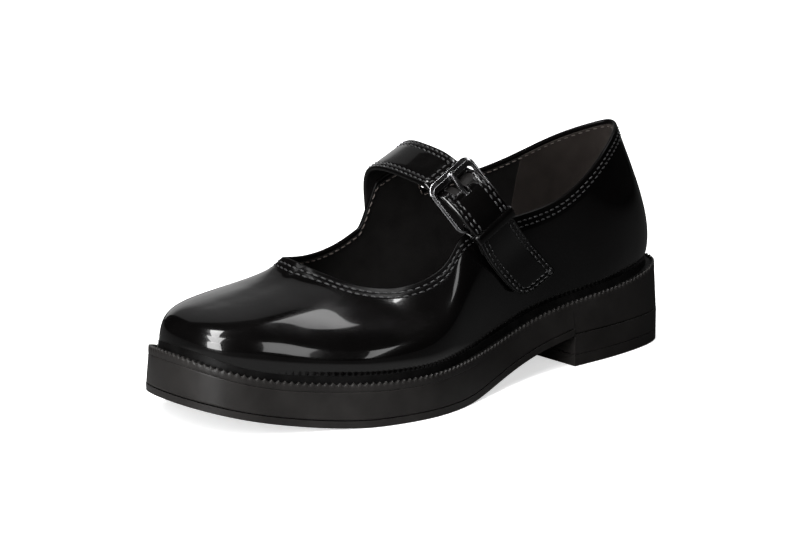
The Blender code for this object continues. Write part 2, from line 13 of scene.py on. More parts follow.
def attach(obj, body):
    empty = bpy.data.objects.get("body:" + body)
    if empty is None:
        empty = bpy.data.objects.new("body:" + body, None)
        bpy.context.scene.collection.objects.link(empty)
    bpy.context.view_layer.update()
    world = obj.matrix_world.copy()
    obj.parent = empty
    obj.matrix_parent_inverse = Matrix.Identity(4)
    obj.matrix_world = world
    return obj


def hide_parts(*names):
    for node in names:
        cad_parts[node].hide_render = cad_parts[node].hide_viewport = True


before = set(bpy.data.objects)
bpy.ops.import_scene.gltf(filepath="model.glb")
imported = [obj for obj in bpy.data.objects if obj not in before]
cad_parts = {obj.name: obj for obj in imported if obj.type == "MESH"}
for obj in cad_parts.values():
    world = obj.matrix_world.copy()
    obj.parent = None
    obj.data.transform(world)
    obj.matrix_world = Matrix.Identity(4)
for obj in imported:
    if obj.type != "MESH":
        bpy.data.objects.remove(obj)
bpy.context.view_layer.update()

MM = 0.001
SHOE_LENGTH = 268.0
GAP = 0.3

TREAD_THICKNESS = 3.0
HEEL_BREAST = 70.0
HEEL_LIFT_HEIGHT = 5.0
HEEL_BLOCK_TOP = 14.5
LEDGE_RISE = 1.8
FEATHER_INSET = 5.8
INWARD_PULL = 25.0
WALL = 1.8
FLIP_REACH = 8.5

STRAP_THICKNESS = 2.0
KEEPER_AT = 127.3
KEEPER_WIDTH = 4.5
KEEPER_THICKNESS = 0.9
STRAP_FRONT_CORNER = 8.0
STRAP_BACK_CORNER = 2.2
STRAP_ROOT_CORNER = 4.0

# Sole outline: one row for each station, side of the inner and of the outer edge.
OUTLINE = (
    # station, inner, outer
    (4.0, -16.5, 13.6), (12.0, -24.5, 20.2), (24.0, -30.0, 24.6), (45.0, -32.4, 28.6),
    (70.0, -32.4, 30.6), (92.0, -32.2, 32.4), (112.0, -32.4, 36.8), (132.0, -34.2, 43.6),
    (150.0, -37.2, 50.0), (167.0, -41.2, 53.8), (184.0, -44.8, 53.4), (200.0, -46.5, 49.8),
    (216.0, -46.6, 43.0), (232.0, -44.4, 36.8), (247.0, -39.4, 31.4), (258.0, -30.6, 25.0),
    (265.0, -18.6, 15.6),
)
TOE_SIDE = -4.0
ARC_STEPS = 1200
SPREAD_STEPS = 2000

# Sole heights: underside of the forepart and shank, and top edge of the sole wall.
UNDERSIDE = (
    # station, height
    (70.0, 14.0), (85.0, 11.6), (100.0, 8.8), (112.0, 6.3), (125.0, 3.6), (135.0, 1.7),
    (146.0, 0.3), (158.0, 0.0), (200.0, 0.0), (215.0, 0.9), (230.0, 3.1), (245.0, 6.3),
    (258.0, 9.8), (268.0, 12.8),
)
TOP_EDGE = (
    # station, height
    (0.0, 37.8), (10.0, 35.9), (20.0, 34.2), (40.0, 31.9), (60.0, 30.4), (80.0, 28.4),
    (100.0, 25.0), (115.0, 22.3), (130.0, 20.4), (150.0, 19.0), (170.0, 18.4), (190.0, 18.5),
    (210.0, 19.4), (230.0, 21.6), (245.0, 24.8), (258.0, 28.9), (268.0, 32.8),
)

# Ribs of the last, from the heel round the outer side to the toe and back along the inner side.
# Each rib climbs from the feather line at its station to a point of the topline. lean is the
# outward tilt of its foot and rise the slope of its top, both in degrees; foot and top are the
# lengths of the handles that bend it. flip is how far the edge of the throat turns up.
RIBS = (
    # half, station, top side, top station, top height, foot, lean, top, rise, flip
    ("outer", 0.0, -2.0, 18.0, 100.4, 18.0, 20.0, 20.0, 70.0, 0.0),
    ("outer", 14.0, 10.0, 28.0, 97.8, 17.0, 18.0, 20.0, 72.0, 0.0),
    ("outer", 32.0, 19.5, 44.0, 91.3, 18.0, 20.0, 22.0, 76.0, 0.0),
    ("outer", 55.0, 24.5, 61.0, 82.0, 15.0, 17.0, 16.0, 82.0, 0.0),
    ("outer", 80.0, 26.5, 80.0, 74.5, 14.0, 16.0, 15.0, 83.0, 0.0),
    ("outer", 103.0, 28.5, 101.0, 72.0, 14.0, 14.0, 15.0, 82.0, 0.0),
    ("outer", 125.0, 31.5, 123.0, 71.0, 15.0, 10.0, 16.0, 76.0, 0.0),
    ("outer", 145.0, 34.0, 140.5, 67.3, 16.0, 10.0, 16.0, 69.0, 0.0),
    ("outer", 160.0, 34.0, 149.6, 57.6, 15.0, 13.0, 15.0, 60.0, 0.0),
    ("outer", 178.0, 30.0, 163.5, 50.8, 15.5, 19.0, 16.0, 45.0, 0.3),
    ("outer", 198.0, 21.0, 173.0, 48.3, 16.5, 24.0, 20.0, 29.0, 1.0),
    ("outer", 218.0, 11.0, 180.1, 48.6, 16.5, 24.0, 28.0, 18.0, 1.7),
    ("outer", 238.0, 2.5, 185.3, 50.5, 15.0, 18.0, 42.0, 9.0, 2.3),
    ("outer", 256.0, -3.5, 189.4, 52.3, 15.0, 11.0, 54.0, 8.5, 2.9),
    ("inner", 268.0, -9.0, 191.9, 53.6, 17.0, 3.0, 53.0, 11.0, 3.1),
    ("inner", 254.0, -14.0, 193.4, 54.6, 22.0, -3.0, 41.0, 15.0, 3.3),
    ("inner", 238.0, -20.0, 192.6, 55.4, 21.5, 4.0, 27.0, 22.0, 2.6),
    ("inner", 220.0, -25.5, 190.3, 55.6, 18.0, 11.0, 17.0, 34.0, 1.6),
    ("inner", 200.0, -30.0, 182.4, 54.8, 17.0, 11.0, 14.0, 47.0, 0.6),
    ("inner", 178.0, -33.2, 169.8, 54.0, 16.0, 11.0, 13.0, 66.0, 0.0),
    ("inner", 155.0, -34.5, 152.0, 57.0, 15.0, 13.0, 13.0, 76.0, 0.0),
    ("inner", 132.0, -33.8, 133.0, 66.0, 15.0, 15.0, 16.0, 80.0, 0.0),
    ("inner", 106.0, -31.0, 108.0, 75.5, 16.0, 16.0, 18.0, 80.0, 0.0),
    ("inner", 80.0, -28.5, 80.0, 80.5, 16.0, 17.0, 18.0, 80.0, 0.0),
    ("inner", 55.0, -26.0, 57.0, 86.0, 17.0, 18.0, 18.0, 80.0, 0.0),
    ("inner", 32.0, -21.0, 36.0, 93.2, 18.0, 20.0, 20.0, 78.0, 0.0),
    ("inner", 14.0, -12.5, 22.5, 98.2, 20.0, 20.0, 23.0, 71.0, 0.0),
)

# Wings of the quarters that stand up under the strap: rise above the topline.
WINGS = (
    # half, rear station, front station, blend, rise
    ("inner", 112.0, 138.0, 9.0, 17.0),
)

# Strap: its front and rear edges at each station along it, from the inner side over the instep.
STRAP = (
    # front side, station, height, rear side, station, height
    (-36.2, 134.3, 46.0, -34.2, 113.3, 51.0),
    (-36.5, 135.1, 57.0, -34.6, 114.2, 63.0),
    (-35.7, 136.3, 69.0, -33.8, 115.8, 76.5),
    (-34.1, 138.3, 80.0, -31.9, 118.6, 88.6),
    (-28.3, 141.2, 87.8, -27.3, 121.4, 97.0),
    (-16.7, 144.0, 91.3, -17.7, 124.1, 101.3),
    (-2.5, 146.0, 91.5, -4.5, 126.7, 101.8),
    (12.0, 147.2, 90.4, 10.2, 127.6, 100.0),
    (21.5, 147.3, 88.2, 19.2, 127.5, 96.4),
    (24.8, 145.8, 85.5, 22.7, 126.1, 94.3),
    (28.0, 145.0, 84.5, 26.5, 125.5, 94.5),
    (31.0, 144.1, 82.7, 29.7, 124.7, 92.8),
    (34.5, 142.5, 79.4, 33.2, 123.0, 89.6),
    (37.2, 140.6, 75.5, 35.8, 121.1, 85.6),
    (39.4, 138.5, 71.8, 37.6, 118.8, 81.8),
    (40.5, 136.0, 67.7, 37.9, 115.6, 77.0),
    (40.2, 132.6, 62.4, 36.6, 110.8, 71.2),
    (38.4, 127.6, 56.9, 33.7, 104.2, 65.3),
    (36.2, 121.4, 51.2, 31.4, 98.0, 60.2),
    (35.2, 115.0, 45.4, 30.6, 91.6, 54.4),
    (34.4, 109.8, 41.0, 29.9, 86.4, 49.6),
    (33.6, 104.6, 36.7, 29.3, 80.8, 44.6),
)

# Buckle: middle of its upper and lower bar, and the way across it towards the heel.
BUCKLE_TOP = (24.42, 138.28, 94.06)
BUCKLE_LOW = (34.04, 128.38, 76.29)
BUCKLE_ACROSS = (-0.058, -0.885, 0.462)

# Buckle frame: loops round the four bars, from the outer edge over the ridge to the opening.
# Ends are measured down from the middle of the upper bar, height outward from the foot.
FRAME = (
    # half width, upper end, lower end, corner radius, height
    (13.8, -2.3, 23.5, 4.6, -1.0),
    (13.8, -2.3, 23.5, 4.6, 0.2),
    (12.9, -0.3, 22.7, 3.6, 1.0),
    (11.9, 2.1, 21.6, 2.2, 0.4),
    (11.8, 2.2, 21.5, 2.0, -1.0),
)
BAR_REACH = 1.35
FRAME_ROUND = (0.22, 22)

# Prong: from its hook round the lower bar to its tip on the ridge of the upper one.
PRONG = (
    # distance down from the upper bar, height, half width
    (-1.3, 1.55, 0.7),
    (-0.3, 1.75, 0.9),
    (1.5, 1.65, 1.0),
    (6.0, 1.3, 1.3),
    (9.0, 0.95, 1.3),
    (17.0, 0.85, 1.2),
)
PRONG_THICKNESS = 1.1

# Leaf of the tab on the outer quarter, from its lower end to the buckle's lower bar.
TAB = (
    # front side, station, height, rear side, station, height
    (37.0, 130.4, 60.4, 32.9, 111.4, 68.6),
    (36.9, 132.6, 64.2, 33.1, 113.2, 71.4),
    (36.9, 134.6, 67.6, 33.1, 115.0, 74.6),
)
TAB_HALF = 10.4
TAB_THICKNESS = 1.4
TAB_TURN = (270, 15)
PRONG_TURN = (120, -120)
TURN_STEPS = 9
LEAF_STEPS = 64
PRONG_STEPS = 72

# Openings the prong passes through: half width, upper end, lower end, inner and outer height.
STRAP_HOLE = (1.7, 3.4, 10.6, -6.0, 6.0)
TAB_SLOT = (1.8, 18.4, 26.6, -4.0, 4.0)

# Sole: notches round the welt's edge, and the rows of the wall from foot to seat.
TOOTH_COUNT = 215
TOOTH_COLUMNS = 8
TOOTH_SHARPNESS = 0.8
GROOVE_FADE = (120.0, 190.0)
PLATFORM_FOOT = (
    # inset, rise above the floor of the platform
    (0.65, 0.0), (0.32, 0.1), (0.2, 0.4), (0.2, 0.9),
)
PLATFORM_WALL = (
    # inset, rise from the top edge, spread and drop of a notch, depth of the line under the welt
    (1.14, -4.7, 0.0, 0.0, 0.0),
    (1.15, -4.15, 0.0, 0.0, 0.0),
    (1.16, -3.95, 0.0, 0.0, 0.06),
    (1.17, -3.8, 0.0, 0.0, 0.32),
    (1.18, -3.65, 0.0, 0.0, 0.06),
    (1.19, -3.4, 0.0, 0.0, 0.0),
    (1.22, -1.9, 0.0, 0.0, 0.0),
    (1.25, -0.9, 0.15, 0.25, 0.0),
    (1.35, -0.25, 0.35, 0.75, 0.0),
    (1.7, 0.05, 0.3, 1.15, 0.0),
    (2.3, 0.05, 0.1, 1.15, 0.0),
    (2.6, -0.25, 0.0, 0.9, 0.0),
    (2.9, -1.2, 0.0, 0.1, 0.0),
    (3.6, -1.3, 0.0, 0.0, 0.0),
    (5.2, -1.3, 0.0, 0.0, 0.0),
    (5.5, 1.8, 0.0, 0.0, 0.0),
    (6.4, 1.8, 0.0, 0.0, 0.0),
    (11.2, 1.8, 0.0, 0.0, 0.0),
)
# Wall row from which the faces behind the notches take the near-black ledge rubber, painted shade under the
# skin.
SHADED_LEDGE_FROM = 10
SKIN_FOOT = 0.3
HEEL_COLUMNS = 90
TREAD_COLUMNS = 240
SLAB_ROUND = 0.45

# Skin: rows under the collar's edge, and what the stitched edge does to its surface. A bead, puff
# or sink is its height, where a row doesn't set it its depth below the edge, and its width.
SKIN_COLUMNS = 620
SKIN_ROWS = 34
RIB_STEPS = 120
CLOSED_FROM = 0.9
ROLL_STEPS = 9
EDGE_DEPTHS = (0.0, 0.3, 0.6, 0.9, 1.2, 1.5, 1.8, 2.1, 2.4, 2.7, 3.0, 3.35, 3.7, 4.05, 4.4, 4.7, 5.0,
               5.4, 5.8, 6.3, 6.9, 7.7)
COLLAR_ROWS = (2.1, 4.5)
COLLAR_COLUMNS = 900
COLLAR_LAYERS = 6
BAND_ROWS = 18
EDGE_BEAD = (0.07, 1.2, 0.5)
ROW_SINK = (0.2, 0.45)
ROW_PUFF = (0.07, 0.7)
BAND_SINK = (0.06, 0.9, 0.8)
DENT_SCALE = 45.0
DENTS = (
    # half, station, share of the way down, station, share, width, depth
    ("inner", 190.0, 0.3, 168.0, 0.55, 7.0, 0.35),
)

# Linings: thin shells inside the skin. Each has the ribs its seams reach at the footbed, and how far
# they lean back at the collar; front and rear are the depths of the vamp's and the quarter's face.
QUARTER_LINING = (("inner", 61.0), ("outer", 61.0), 9.0)
VAMP_LINING = (("outer", 56.0), ("inner", 56.0), -9.0)
SEAM_REACH = 14.0
SEAM_COLUMNS = 40
LINING_STEP = 1.2
LINING_DEPTHS = (1.3, 2.0, 3.0, 4.5, 6.0)
LINING_ROWS = 24
LINING_FRONT = 2.1
LINING_REAR = 2.35
LINING_OVERLAP = 0.1

# Footbed: inset from the outline and rise above the insole's base.
FOOTBED = (
    (11.2, 0.0), (9.0, 0.0), (8.45, 0.3), (8.2, 0.9), (8.2, 2.3), (8.45, 2.9), (9.1, 3.2),
    (11.5, 3.2), (15.0, 3.2),
)
FOOTBED_COLUMNS = 420

# Strap: rows across and along it, its rounded edge and the stretches that are stitched round.
EDGE_STEPS = (0.0, 0.06, 0.2, 0.4, 0.65, 0.9, 1.2, 1.5, 1.8, 2.1, 2.4, 2.75, 3.1, 3.45, 3.8, 4.1, 4.4,
              4.8, 5.3, 5.9)
MIDDLE_STEPS = 26
STRAP_STEP = 0.8
STRAP_ROUND = 1.0
STRAP_EASE = 0.8
POCKET_DEPTH = 0.7
POCKET_FROM = 100.3
POCKET_RIM = 107.0
POCKET_ACROSS = (-6.5, 9.0)
POCKET_STRAIGHT = 2.0
POCKET_CURVE = 0.1
POCKET_EASE = 1.2
POCKET_RIM_EASE = 0.9
# Pocket faces deeper than this share of its depth take the dark matt lining: painted shade under the
# buckle's bar.
POCKET_PAINTED_SHADE_FROM = 0.45
POCKET_STEP = 0.35
POCKET_STEPS = (98.0, 113.0)
STRAP_ROWS = (1.8, 4.0)
FIRST_STITCHED = (0.0, 96.2, (4.0, 4.0, 5.0, 5.0))
LAST_STITCHED_FROM = 105.2
# Fuller place of the rear edge: distance from the root, reach along the strap, and how far out.
STRAP_FULLER = (99.5, 3.5, 1.3)
WELD_REACH = 1e-6

# Stitches: pitch along a row, thread, and the rings of one stitch from end to end.
STITCH_PITCH = 3.5
STITCH_FILL = 0.74
STITCH_DIP = -1.1
THREAD_RADIUS = 0.36
INNER_THREAD_RADIUS = 0.28
THREAD_RIDE = 0.12
STITCH_SLANT = 0.12
STITCH_SIDES = 7
STITCH_PROFILE = (
    # share of the length, girth, lift
    (-0.48, 0.6, -0.75), (-0.38, 0.92, -0.3), (-0.2, 1.05, 0.1), (0.0, 1.1, 0.22), (0.2, 1.05, 0.1),
    (0.38, 0.92, -0.3), (0.48, 0.6, -0.75),
)

# Rounded strips of the leaf and prong, rounded corners, and the keeper's section.
STRIP_SIDES = 24
STRIP_SQUARE = 0.45
CORNER_STEPS = 12
KEEPER_CORNER = 0.6
KEEPER_SECTION = (
    # share across the band's width, share of its thickness
    (-0.47, 0.0), (0.47, 0.0), (0.5, 0.3), (0.48, 0.7), (0.4, 0.95), (0.2, 1.05), (0.0, 1.1),
    (-0.2, 1.05), (-0.4, 0.95), (-0.48, 0.7), (-0.5, 0.3),
)

# Studio: camera, lights and surround, in metres and degrees.
CAMERA_TARGET = (-0.00365, -0.0115, 0.04765)
CAMERA_DISTANCE = 1.25
CAMERA_AZIMUTH = 50.7
CAMERA_ELEVATION = 13.2
SENSOR = 36.0
FOCAL = 130.0
CLIP_END = 50.0
FLOOR_HALF = 12.0
FLOOR_DROP = -0.0002
PAPER_GLOW = 0.6
# Painted pool of light on the floor, seen only in the shoe's gloss: brighter in an oval near the shoe,
# fading to dark beyond.
PAPER_POOL_IN_GLOSS = (0.17, 0.17, 0.17)
PAPER_UNLIT_IN_GLOSS = (0.03, 0.03, 0.03)
GLOSS_POOL_MIDDLE = (0.0, -0.11)
GLOSS_POOL_HALF = (0.118, 0.155)
GLOSS_POOL_FADE = (0.85, 1.15)
SCREEN_AWAY = 2.6
SCREEN_HALF = 1.4
SCREEN_HEIGHT = 2.6
SCREEN_STEP = (0.85, 1.2)
SCREEN_GLOW = (0.5, 0.12)
SURROUND = (0.004, 0.004, 0.004)
LIGHTS = (
    # name, centre, point it faces, direction of its width, width, height, radiance, mirrored
    ("far_strip", (-0.13, -0.29, 1.2), (-0.13, -0.29, 0.0), (0.62, -0.78, 0.0), 0.76, 0.23, 15.0, True),
    ("near_strip", (0.46, -1.2, 1.19), (0.46, -1.2, 0.0), (0.5, -0.87, 0.0), 1.45, 0.6, 14.0, True),
    ("front_riser", (0.68, -1.77, 0.6), (0.0, 0.0, 0.6), (0.93, 0.36, 0.0), 0.92, 1.16, 14.0, True),
    ("back_box", (-0.05, 0.94, 1.2), (-0.05, 0.94, 0.0), (0.98, 0.21, 0.0), 0.88, 0.52, 2.9, True),
    ("side_box", (4.1, 0.11, 1.2), (4.1, 0.11, 0.0), (0.995, -0.1, 0.0), 5.7, 0.54, 3.7, True),
    ("wash", (-0.7, 0.6, 3.1), (0.0, 0.0, 0.0), (1.0, 0.0, 0.0), 3.6, 3.6, 1.5, False),
)


def cubic(knots, values, period=None):
    """Smooth curve through the rows of a table: natural at its ends, or closed over a period."""
    knots = np.asarray(knots, float)
    values = np.asarray(values, float)
    flat = values.ndim == 1
    values = values.reshape(len(knots), -1)
    if period:
        knots = np.append(knots, knots[0] + period)
        values = np.vstack([values, values[0]])
    steps = np.diff(knots)
    slopes = np.diff(values, axis=0) / steps[:, None]
    rows = len(knots)
    system = np.eye(rows)
    right = np.zeros(values.shape)
    for row in range(1, rows - 1):
        system[row, row - 1:row + 2] = steps[row - 1], 2 * (steps[row - 1] + steps[row]), steps[row]
        right[row] = 6 * (slopes[row] - slopes[row - 1])
    if period:
        system[0] = 0
        system[0, 0] = 2 * (steps[0] + steps[-1])
        system[0, 1] = steps[0]
        system[0, -2] = steps[-1]
        right[0] = 6 * (slopes[0] - slopes[-1])
        system[-1, 0] = -1
    bends = np.linalg.solve(system, right)

    def curve(at):
        at = np.asarray(at, float)
        if period:
            at = knots[0] + (at - knots[0]) % period
        k = np.clip(np.searchsorted(knots, at, side="right") - 1, 0, rows - 2)
        width = steps[k][..., None]
        a = (knots[k + 1] - at)[..., None] / width
        b = 1 - a
        low, high = values[k], values[k + 1]
        bend = ((a ** 3 - a) * bends[k] + (b ** 3 - b) * bends[k + 1]) * width ** 2 / 6
        result = a * low + b * high + bend
        return result[..., 0] if flat else result

    return curve


def column(table, *places):
    """Chosen columns of a table as an array."""
    return np.array([[row[place] for place in places] for row in table], float).squeeze()


def smooth_step(x):
    x = np.clip(x, 0, 1)
    return x * x * (3 - 2 * x)


def unit(vectors):
    return vectors / np.linalg.norm(vectors, axis=-1, keepdims=True)


def outline_curve():
    """Closed plan curve (side, station) of the sole, and its arc position at the toe."""
    outer = [(row[2], row[0]) for row in OUTLINE]
    inner = [(row[1], row[0]) for row in reversed(OUTLINE)]
    points = np.array([(0.0, 0.0)] + outer + [(TOE_SIDE, SHOE_LENGTH)] + inner)
    closing = np.vstack([points, points[:1]])
    arcs = np.append(0, np.cumsum(np.linalg.norm(np.diff(closing, axis=0), axis=1)))
    return cubic(arcs[:-1], points, arcs[-1]), arcs[len(outer) + 1], arcs[-1]


PLAN, TOE_ARC, FULL_ARC = outline_curve()
PLAN_SPREAD = PLAN(np.linspace(0, FULL_ARC, SPREAD_STEPS))
PLAN_MIDDLE = (PLAN_SPREAD.min(axis=0) + PLAN_SPREAD.max(axis=0)) / 2
TOP_HEIGHT = cubic(column(TOP_EDGE, 0), column(TOP_EDGE, 1))
UNDERSIDE_CURVE = cubic(column(UNDERSIDE, 0), column(UNDERSIDE, 1))


def low_height(station):
    """Underside of the forepart and shank, never below the floor."""
    return np.maximum(UNDERSIDE_CURVE(station), 0)


def plan_at(arc, inset):
    """Plan points set in from the sole outline along its normal."""
    arc = np.asarray(arc, float)
    along = unit(PLAN(arc + 0.5) - PLAN(arc - 0.5))
    inward = np.stack([-along[..., 1], along[..., 0]], -1)
    return PLAN(arc) + inward * np.asarray(inset)[..., None], inward


def arc_of(half, station):
    """Arc position of a station on one half of the outline."""
    low, high = (0.0, TOE_ARC) if half == "outer" else (TOE_ARC, FULL_ARC)
    arcs = np.linspace(low, high, ARC_STEPS)
    return arcs[np.argmin(np.abs(PLAN(arcs)[:, 1] - station))]


def place(points):
    """World position in metres of points given as side, station, height in millimetres."""
    points = np.asarray(points, float)
    side, station = PLAN_MIDDLE
    return np.stack([points[..., 0] - side, station - points[..., 1], points[..., 2]], -1) * MM


def with_height(plan, heights):
    return np.column_stack([plan, heights])


def layer_loop(arcs, inset, height):
    """Closed loop at an inset from the outline; height is a function of station."""
    return with_height(plan_at(arcs, inset)[0], height(PLAN(arcs)[:, 1]))


def midsole_floor(station):
    """Underside of the platform: on the heel block behind the breast, on the tread before it."""
    on_tread = low_height(np.maximum(station, HEEL_BREAST)) + TREAD_THICKNESS + GAP
    return np.where(station < HEEL_BREAST + GAP / 2, HEEL_BLOCK_TOP + GAP, on_tread)


def rib_curves(arcs, spans):
    """Points of the last's surface: one column for each arc, one row for each share of a rib.

    Shares over 1 carry on straight beyond the topline.
    """
    rib_arcs = np.array([arc_of(row[0], row[1]) for row in RIBS])
    rib_arcs[0] = 0.0
    table = cubic(rib_arcs, column(RIBS, 2, 3, 4, 5, 6, 7, 8, 9), FULL_ARC)(arcs)
    feather, inward = plan_at(arcs, FEATHER_INSET)
    foot = with_height(feather, TOP_HEIGHT(PLAN(arcs)[:, 1]) + LEDGE_RISE + GAP)
    top = table[:, :3]
    lean, rise = np.radians(table[:, 4]), np.radians(table[:, 6])
    heading = unit(INWARD_PULL * inward + top[:, :2] - feather)
    out = with_height(-inward * np.sin(lean)[:, None], np.cos(lean))
    end = with_height(heading * np.cos(rise)[:, None], np.sin(rise))
    first = foot + out * table[:, 3:4]
    second = top - end * table[:, 5:6]
    rows = []
    for span in spans:
        t = np.minimum(span, 1)[:, None]
        over = np.maximum(span - 1, 0)[:, None]
        bezier = (1 - t) ** 3 * foot + 3 * (1 - t) ** 2 * t * first
        bezier += 3 * (1 - t) * t ** 2 * second + t ** 3 * top
        turned = np.maximum(1 - 3 * (1 - t) * table[:, 5:6] / FLIP_REACH, 0)
        bezier[:, 2:] += table[:, 7:] * turned ** 2
        rows.append(bezier + over * end * table[:, 5:6] * 3)
    return np.array(rows), table


def wing_rise(table, arcs):
    """How far each rib carries on beyond the topline, in millimetres."""
    rise = np.zeros(len(arcs))
    for half, rear, front, blend, height in WINGS:
        on_half = arcs < TOE_ARC if half == "outer" else arcs > TOE_ARC
        station = table[:, 1]
        shape = smooth_step((station - rear) / blend + 0.5) * smooth_step((front - station) / blend + 0.5)
        rise = np.where(on_half, np.maximum(rise, height * shape), rise)
    return rise


def corner_inset(distance, radius):
    """How far a rounded corner draws an edge in, at a distance from the strap's end."""
    short = np.clip(radius - distance, 0, radius)
    return radius - np.sqrt(radius ** 2 - short ** 2)


def strap_curves():
    """Front and rear edge of the strap as curves of the distance from its root, and its length."""
    front, rear = column(STRAP, 0, 1, 2), column(STRAP, 3, 4, 5)
    steps = np.linalg.norm(np.diff((front + rear) / 2, axis=0), axis=1)
    along = np.append(0, np.cumsum(steps))
    return cubic(along, front), cubic(along, rear), along[-1]


def buckle_point(across, along, height):
    """Points given across, down and outward from the middle of the buckle's upper bar."""
    top, low = np.array(BUCKLE_TOP), np.array(BUCKLE_LOW)
    down = unit(low - top)
    side = np.array(BUCKLE_ACROSS)
    side = unit(side - down * np.dot(side, down))
    out = np.cross(side, down)
    across, along, height = np.broadcast_arrays(across, along, height)
    return top + across[..., None] * side + along[..., None] * down + height[..., None] * out


def rounded_loop(half_width, upper, lower, radius):
    """Points across and along a rectangle with rounded corners."""
    middles = ((1, lower - radius), (-1, lower - radius), (-1, upper + radius), (1, upper + radius))
    angles = np.linspace(0, np.pi / 2, CORNER_STEPS)
    points = []
    for corner, (side, along) in enumerate(middles):
        turn = angles + corner * np.pi / 2
        across = side * (half_width - radius) + radius * np.cos(turn)
        points.append(np.column_stack([across, along + radius * np.sin(turn)]))
    return np.vstack(points)


def bar_turn(radius, start, end, steps):
    """Points along and out from the buckle's upper bar, on an arc round the lower one."""
    middle = np.linalg.norm(np.array(BUCKLE_LOW) - np.array(BUCKLE_TOP))
    turn = np.radians(np.linspace(start, end, steps))
    return middle + radius * np.cos(turn), radius * np.sin(turn)


def fill(tree, node, inputs):
    """Gives a node's inputs plain values, or links them to the outputs of other nodes."""
    for name, value in inputs.items():
        if isinstance(value, bpy.types.NodeSocket):
            tree.links.new(value, node.inputs[name])
        else:
            node.inputs[name].default_value = value


def add_node(tree, kind, inputs, **settings):
    """A new shader node with its settings and inputs."""
    node = tree.nodes.new("ShaderNode" + kind)
    for name, value in settings.items():
        setattr(node, name, value)
    fill(tree, node, inputs)
    return node


def object_space(tree):
    return add_node(tree, "TexCoord", {}).outputs["Object"]


def noise(tree, scale, detail=3.0, roughness=0.5, stretch=(1.0, 1.0, 1.0)):
    """Noise in the object's own space: scale is in features for each metre."""
    spot = add_node(tree, "Mapping", {"Vector": object_space(tree), "Scale": stretch}).outputs["Vector"]
    inputs = {"Vector": spot, "Scale": scale, "Detail": detail, "Roughness": roughness}
    return add_node(tree, "TexNoise", inputs).outputs["Fac"]


def cells(tree, scale):
    """Distance to the nearest point of a scatter, for pores and pebbled grain."""
    return add_node(tree, "TexVoronoi", {"Vector": object_space(tree), "Scale": scale}).outputs["Distance"]


def span(tree, value, low, high, to_low=0.0, to_high=1.0):
    """Value carried from one range to another and held at its ends."""
    inputs = {"Value": value, "From Min": low, "From Max": high, "To Min": to_low, "To Max": to_high}
    return add_node(tree, "MapRange", inputs).outputs["Result"]


def blend_colours(tree, value, low_colour, high_colour):
    """Colour between two others, by a value from 0 to 1."""
    inputs = {"Factor": value, "A": (*low_colour, 1), "B": (*high_colour, 1)}
    return add_node(tree, "Mix", inputs, data_type="RGBA").outputs["Result"]


def bump_stack(tree, *layers):
    """Bumps laid over one another: each layer is a value and its height in metres."""
    normal = None
    for value, height in layers:
        inputs = {"Height": value, "Distance": height}
        if normal:
            inputs["Normal"] = normal
        normal = add_node(tree, "Bump", inputs).outputs["Normal"]
    return normal


def new_material(name):
    material = bpy.data.materials.new(name)
    material.use_nodes = True
    return material, material.node_tree, material.node_tree.nodes["Principled BSDF"]


def patent_material(name, specular, coat, coat_roughness):
    """Black patent leather: clear lacquer over a faintly uneven, lightly handled skin."""
    material, tree, shader = new_material(name)
    haze = noise(tree, 45.0, 4.0)
    waves, peel = noise(tree, 38.0, 1.5, 0.4), noise(tree, 620.0, 1.0, 0.4)
    fill(tree, shader, {
        "Base Color": blend_colours(tree, span(tree, haze, 0.35, 0.7), *PATENT_COLOURS),
        "Roughness": span(tree, haze, 0.3, 0.75, 0.16, 0.26),
        "IOR": 1.4,
        "Specular IOR Level": specular,
        "Coat Weight": coat,
        "Coat IOR": 1.42,
        "Coat Roughness": coat_roughness,
        "Normal": bump_stack(tree, (waves, 0.0012), (peel, 0.000012), (cells(tree, 420.0), 0.000004)),
    })
    return material


def rubber_material():
    """Moulded black rubber: satin, fine-grained, with faint dusty patches."""
    material, tree, shader = new_material("rubber_black")
    dust, grain = noise(tree, 70.0, 6.0, 0.6), noise(tree, 2600.0, 2.0, 0.6)
    scuffs = noise(tree, 900.0, 3.0, 0.7, (1.0, 1.0, 5.0))
    fill(tree, shader, {
        "Base Color": blend_colours(tree, span(tree, dust, 0.35, 0.75), *RUBBER_COLOURS),
        "Roughness": span(tree, dust, 0.3, 0.75, 0.38, 0.56),
        "Specular IOR Level": 0.26,
        "Normal": bump_stack(tree, (grain, 0.00003), (scuffs, 0.00002)),
    })
    return material


def shaded_ledge_material():
    """Smooth rubber of the ledge behind the notched edge, painted near-black as the shade under the
    overhanging skin, dusty in places.
    """
    material, tree, shader = new_material("rubber_ledge_painted_shade")
    dust = noise(tree, 160.0, 5.0, 0.6)
    fill(tree, shader, {
        "Base Color": blend_colours(tree, span(tree, dust, 0.4, 0.75), *LEDGE_SHADE_COLOURS),
        "Roughness": span(tree, dust, 0.3, 0.75, 0.45, 0.6),
        "Specular IOR Level": 0.15,
        "Normal": bump_stack(tree, (dust, 0.00002)),
    })
    return material


def lining_material(name, dark, light):
    """Lining leather: matt, with fine pores and a soft mottle."""
    material, tree, shader = new_material(name)
    mottle = noise(tree, 120.0, 6.0, 0.65)
    fill(tree, shader, {
        "Base Color": blend_colours(tree, span(tree, mottle, 0.3, 0.7), dark, light),
        "Roughness": span(tree, mottle, 0.3, 0.7, 0.55, 0.75),
        "Specular IOR Level": 0.2,
        "Sheen Weight": 0.02,
        "Sheen Roughness": 0.5,
        "Normal": bump_stack(tree, (cells(tree, 1900.0), 0.00005), (noise(tree, 1500.0, 4.0, 0.7), 0.00006)),
    })
    return material


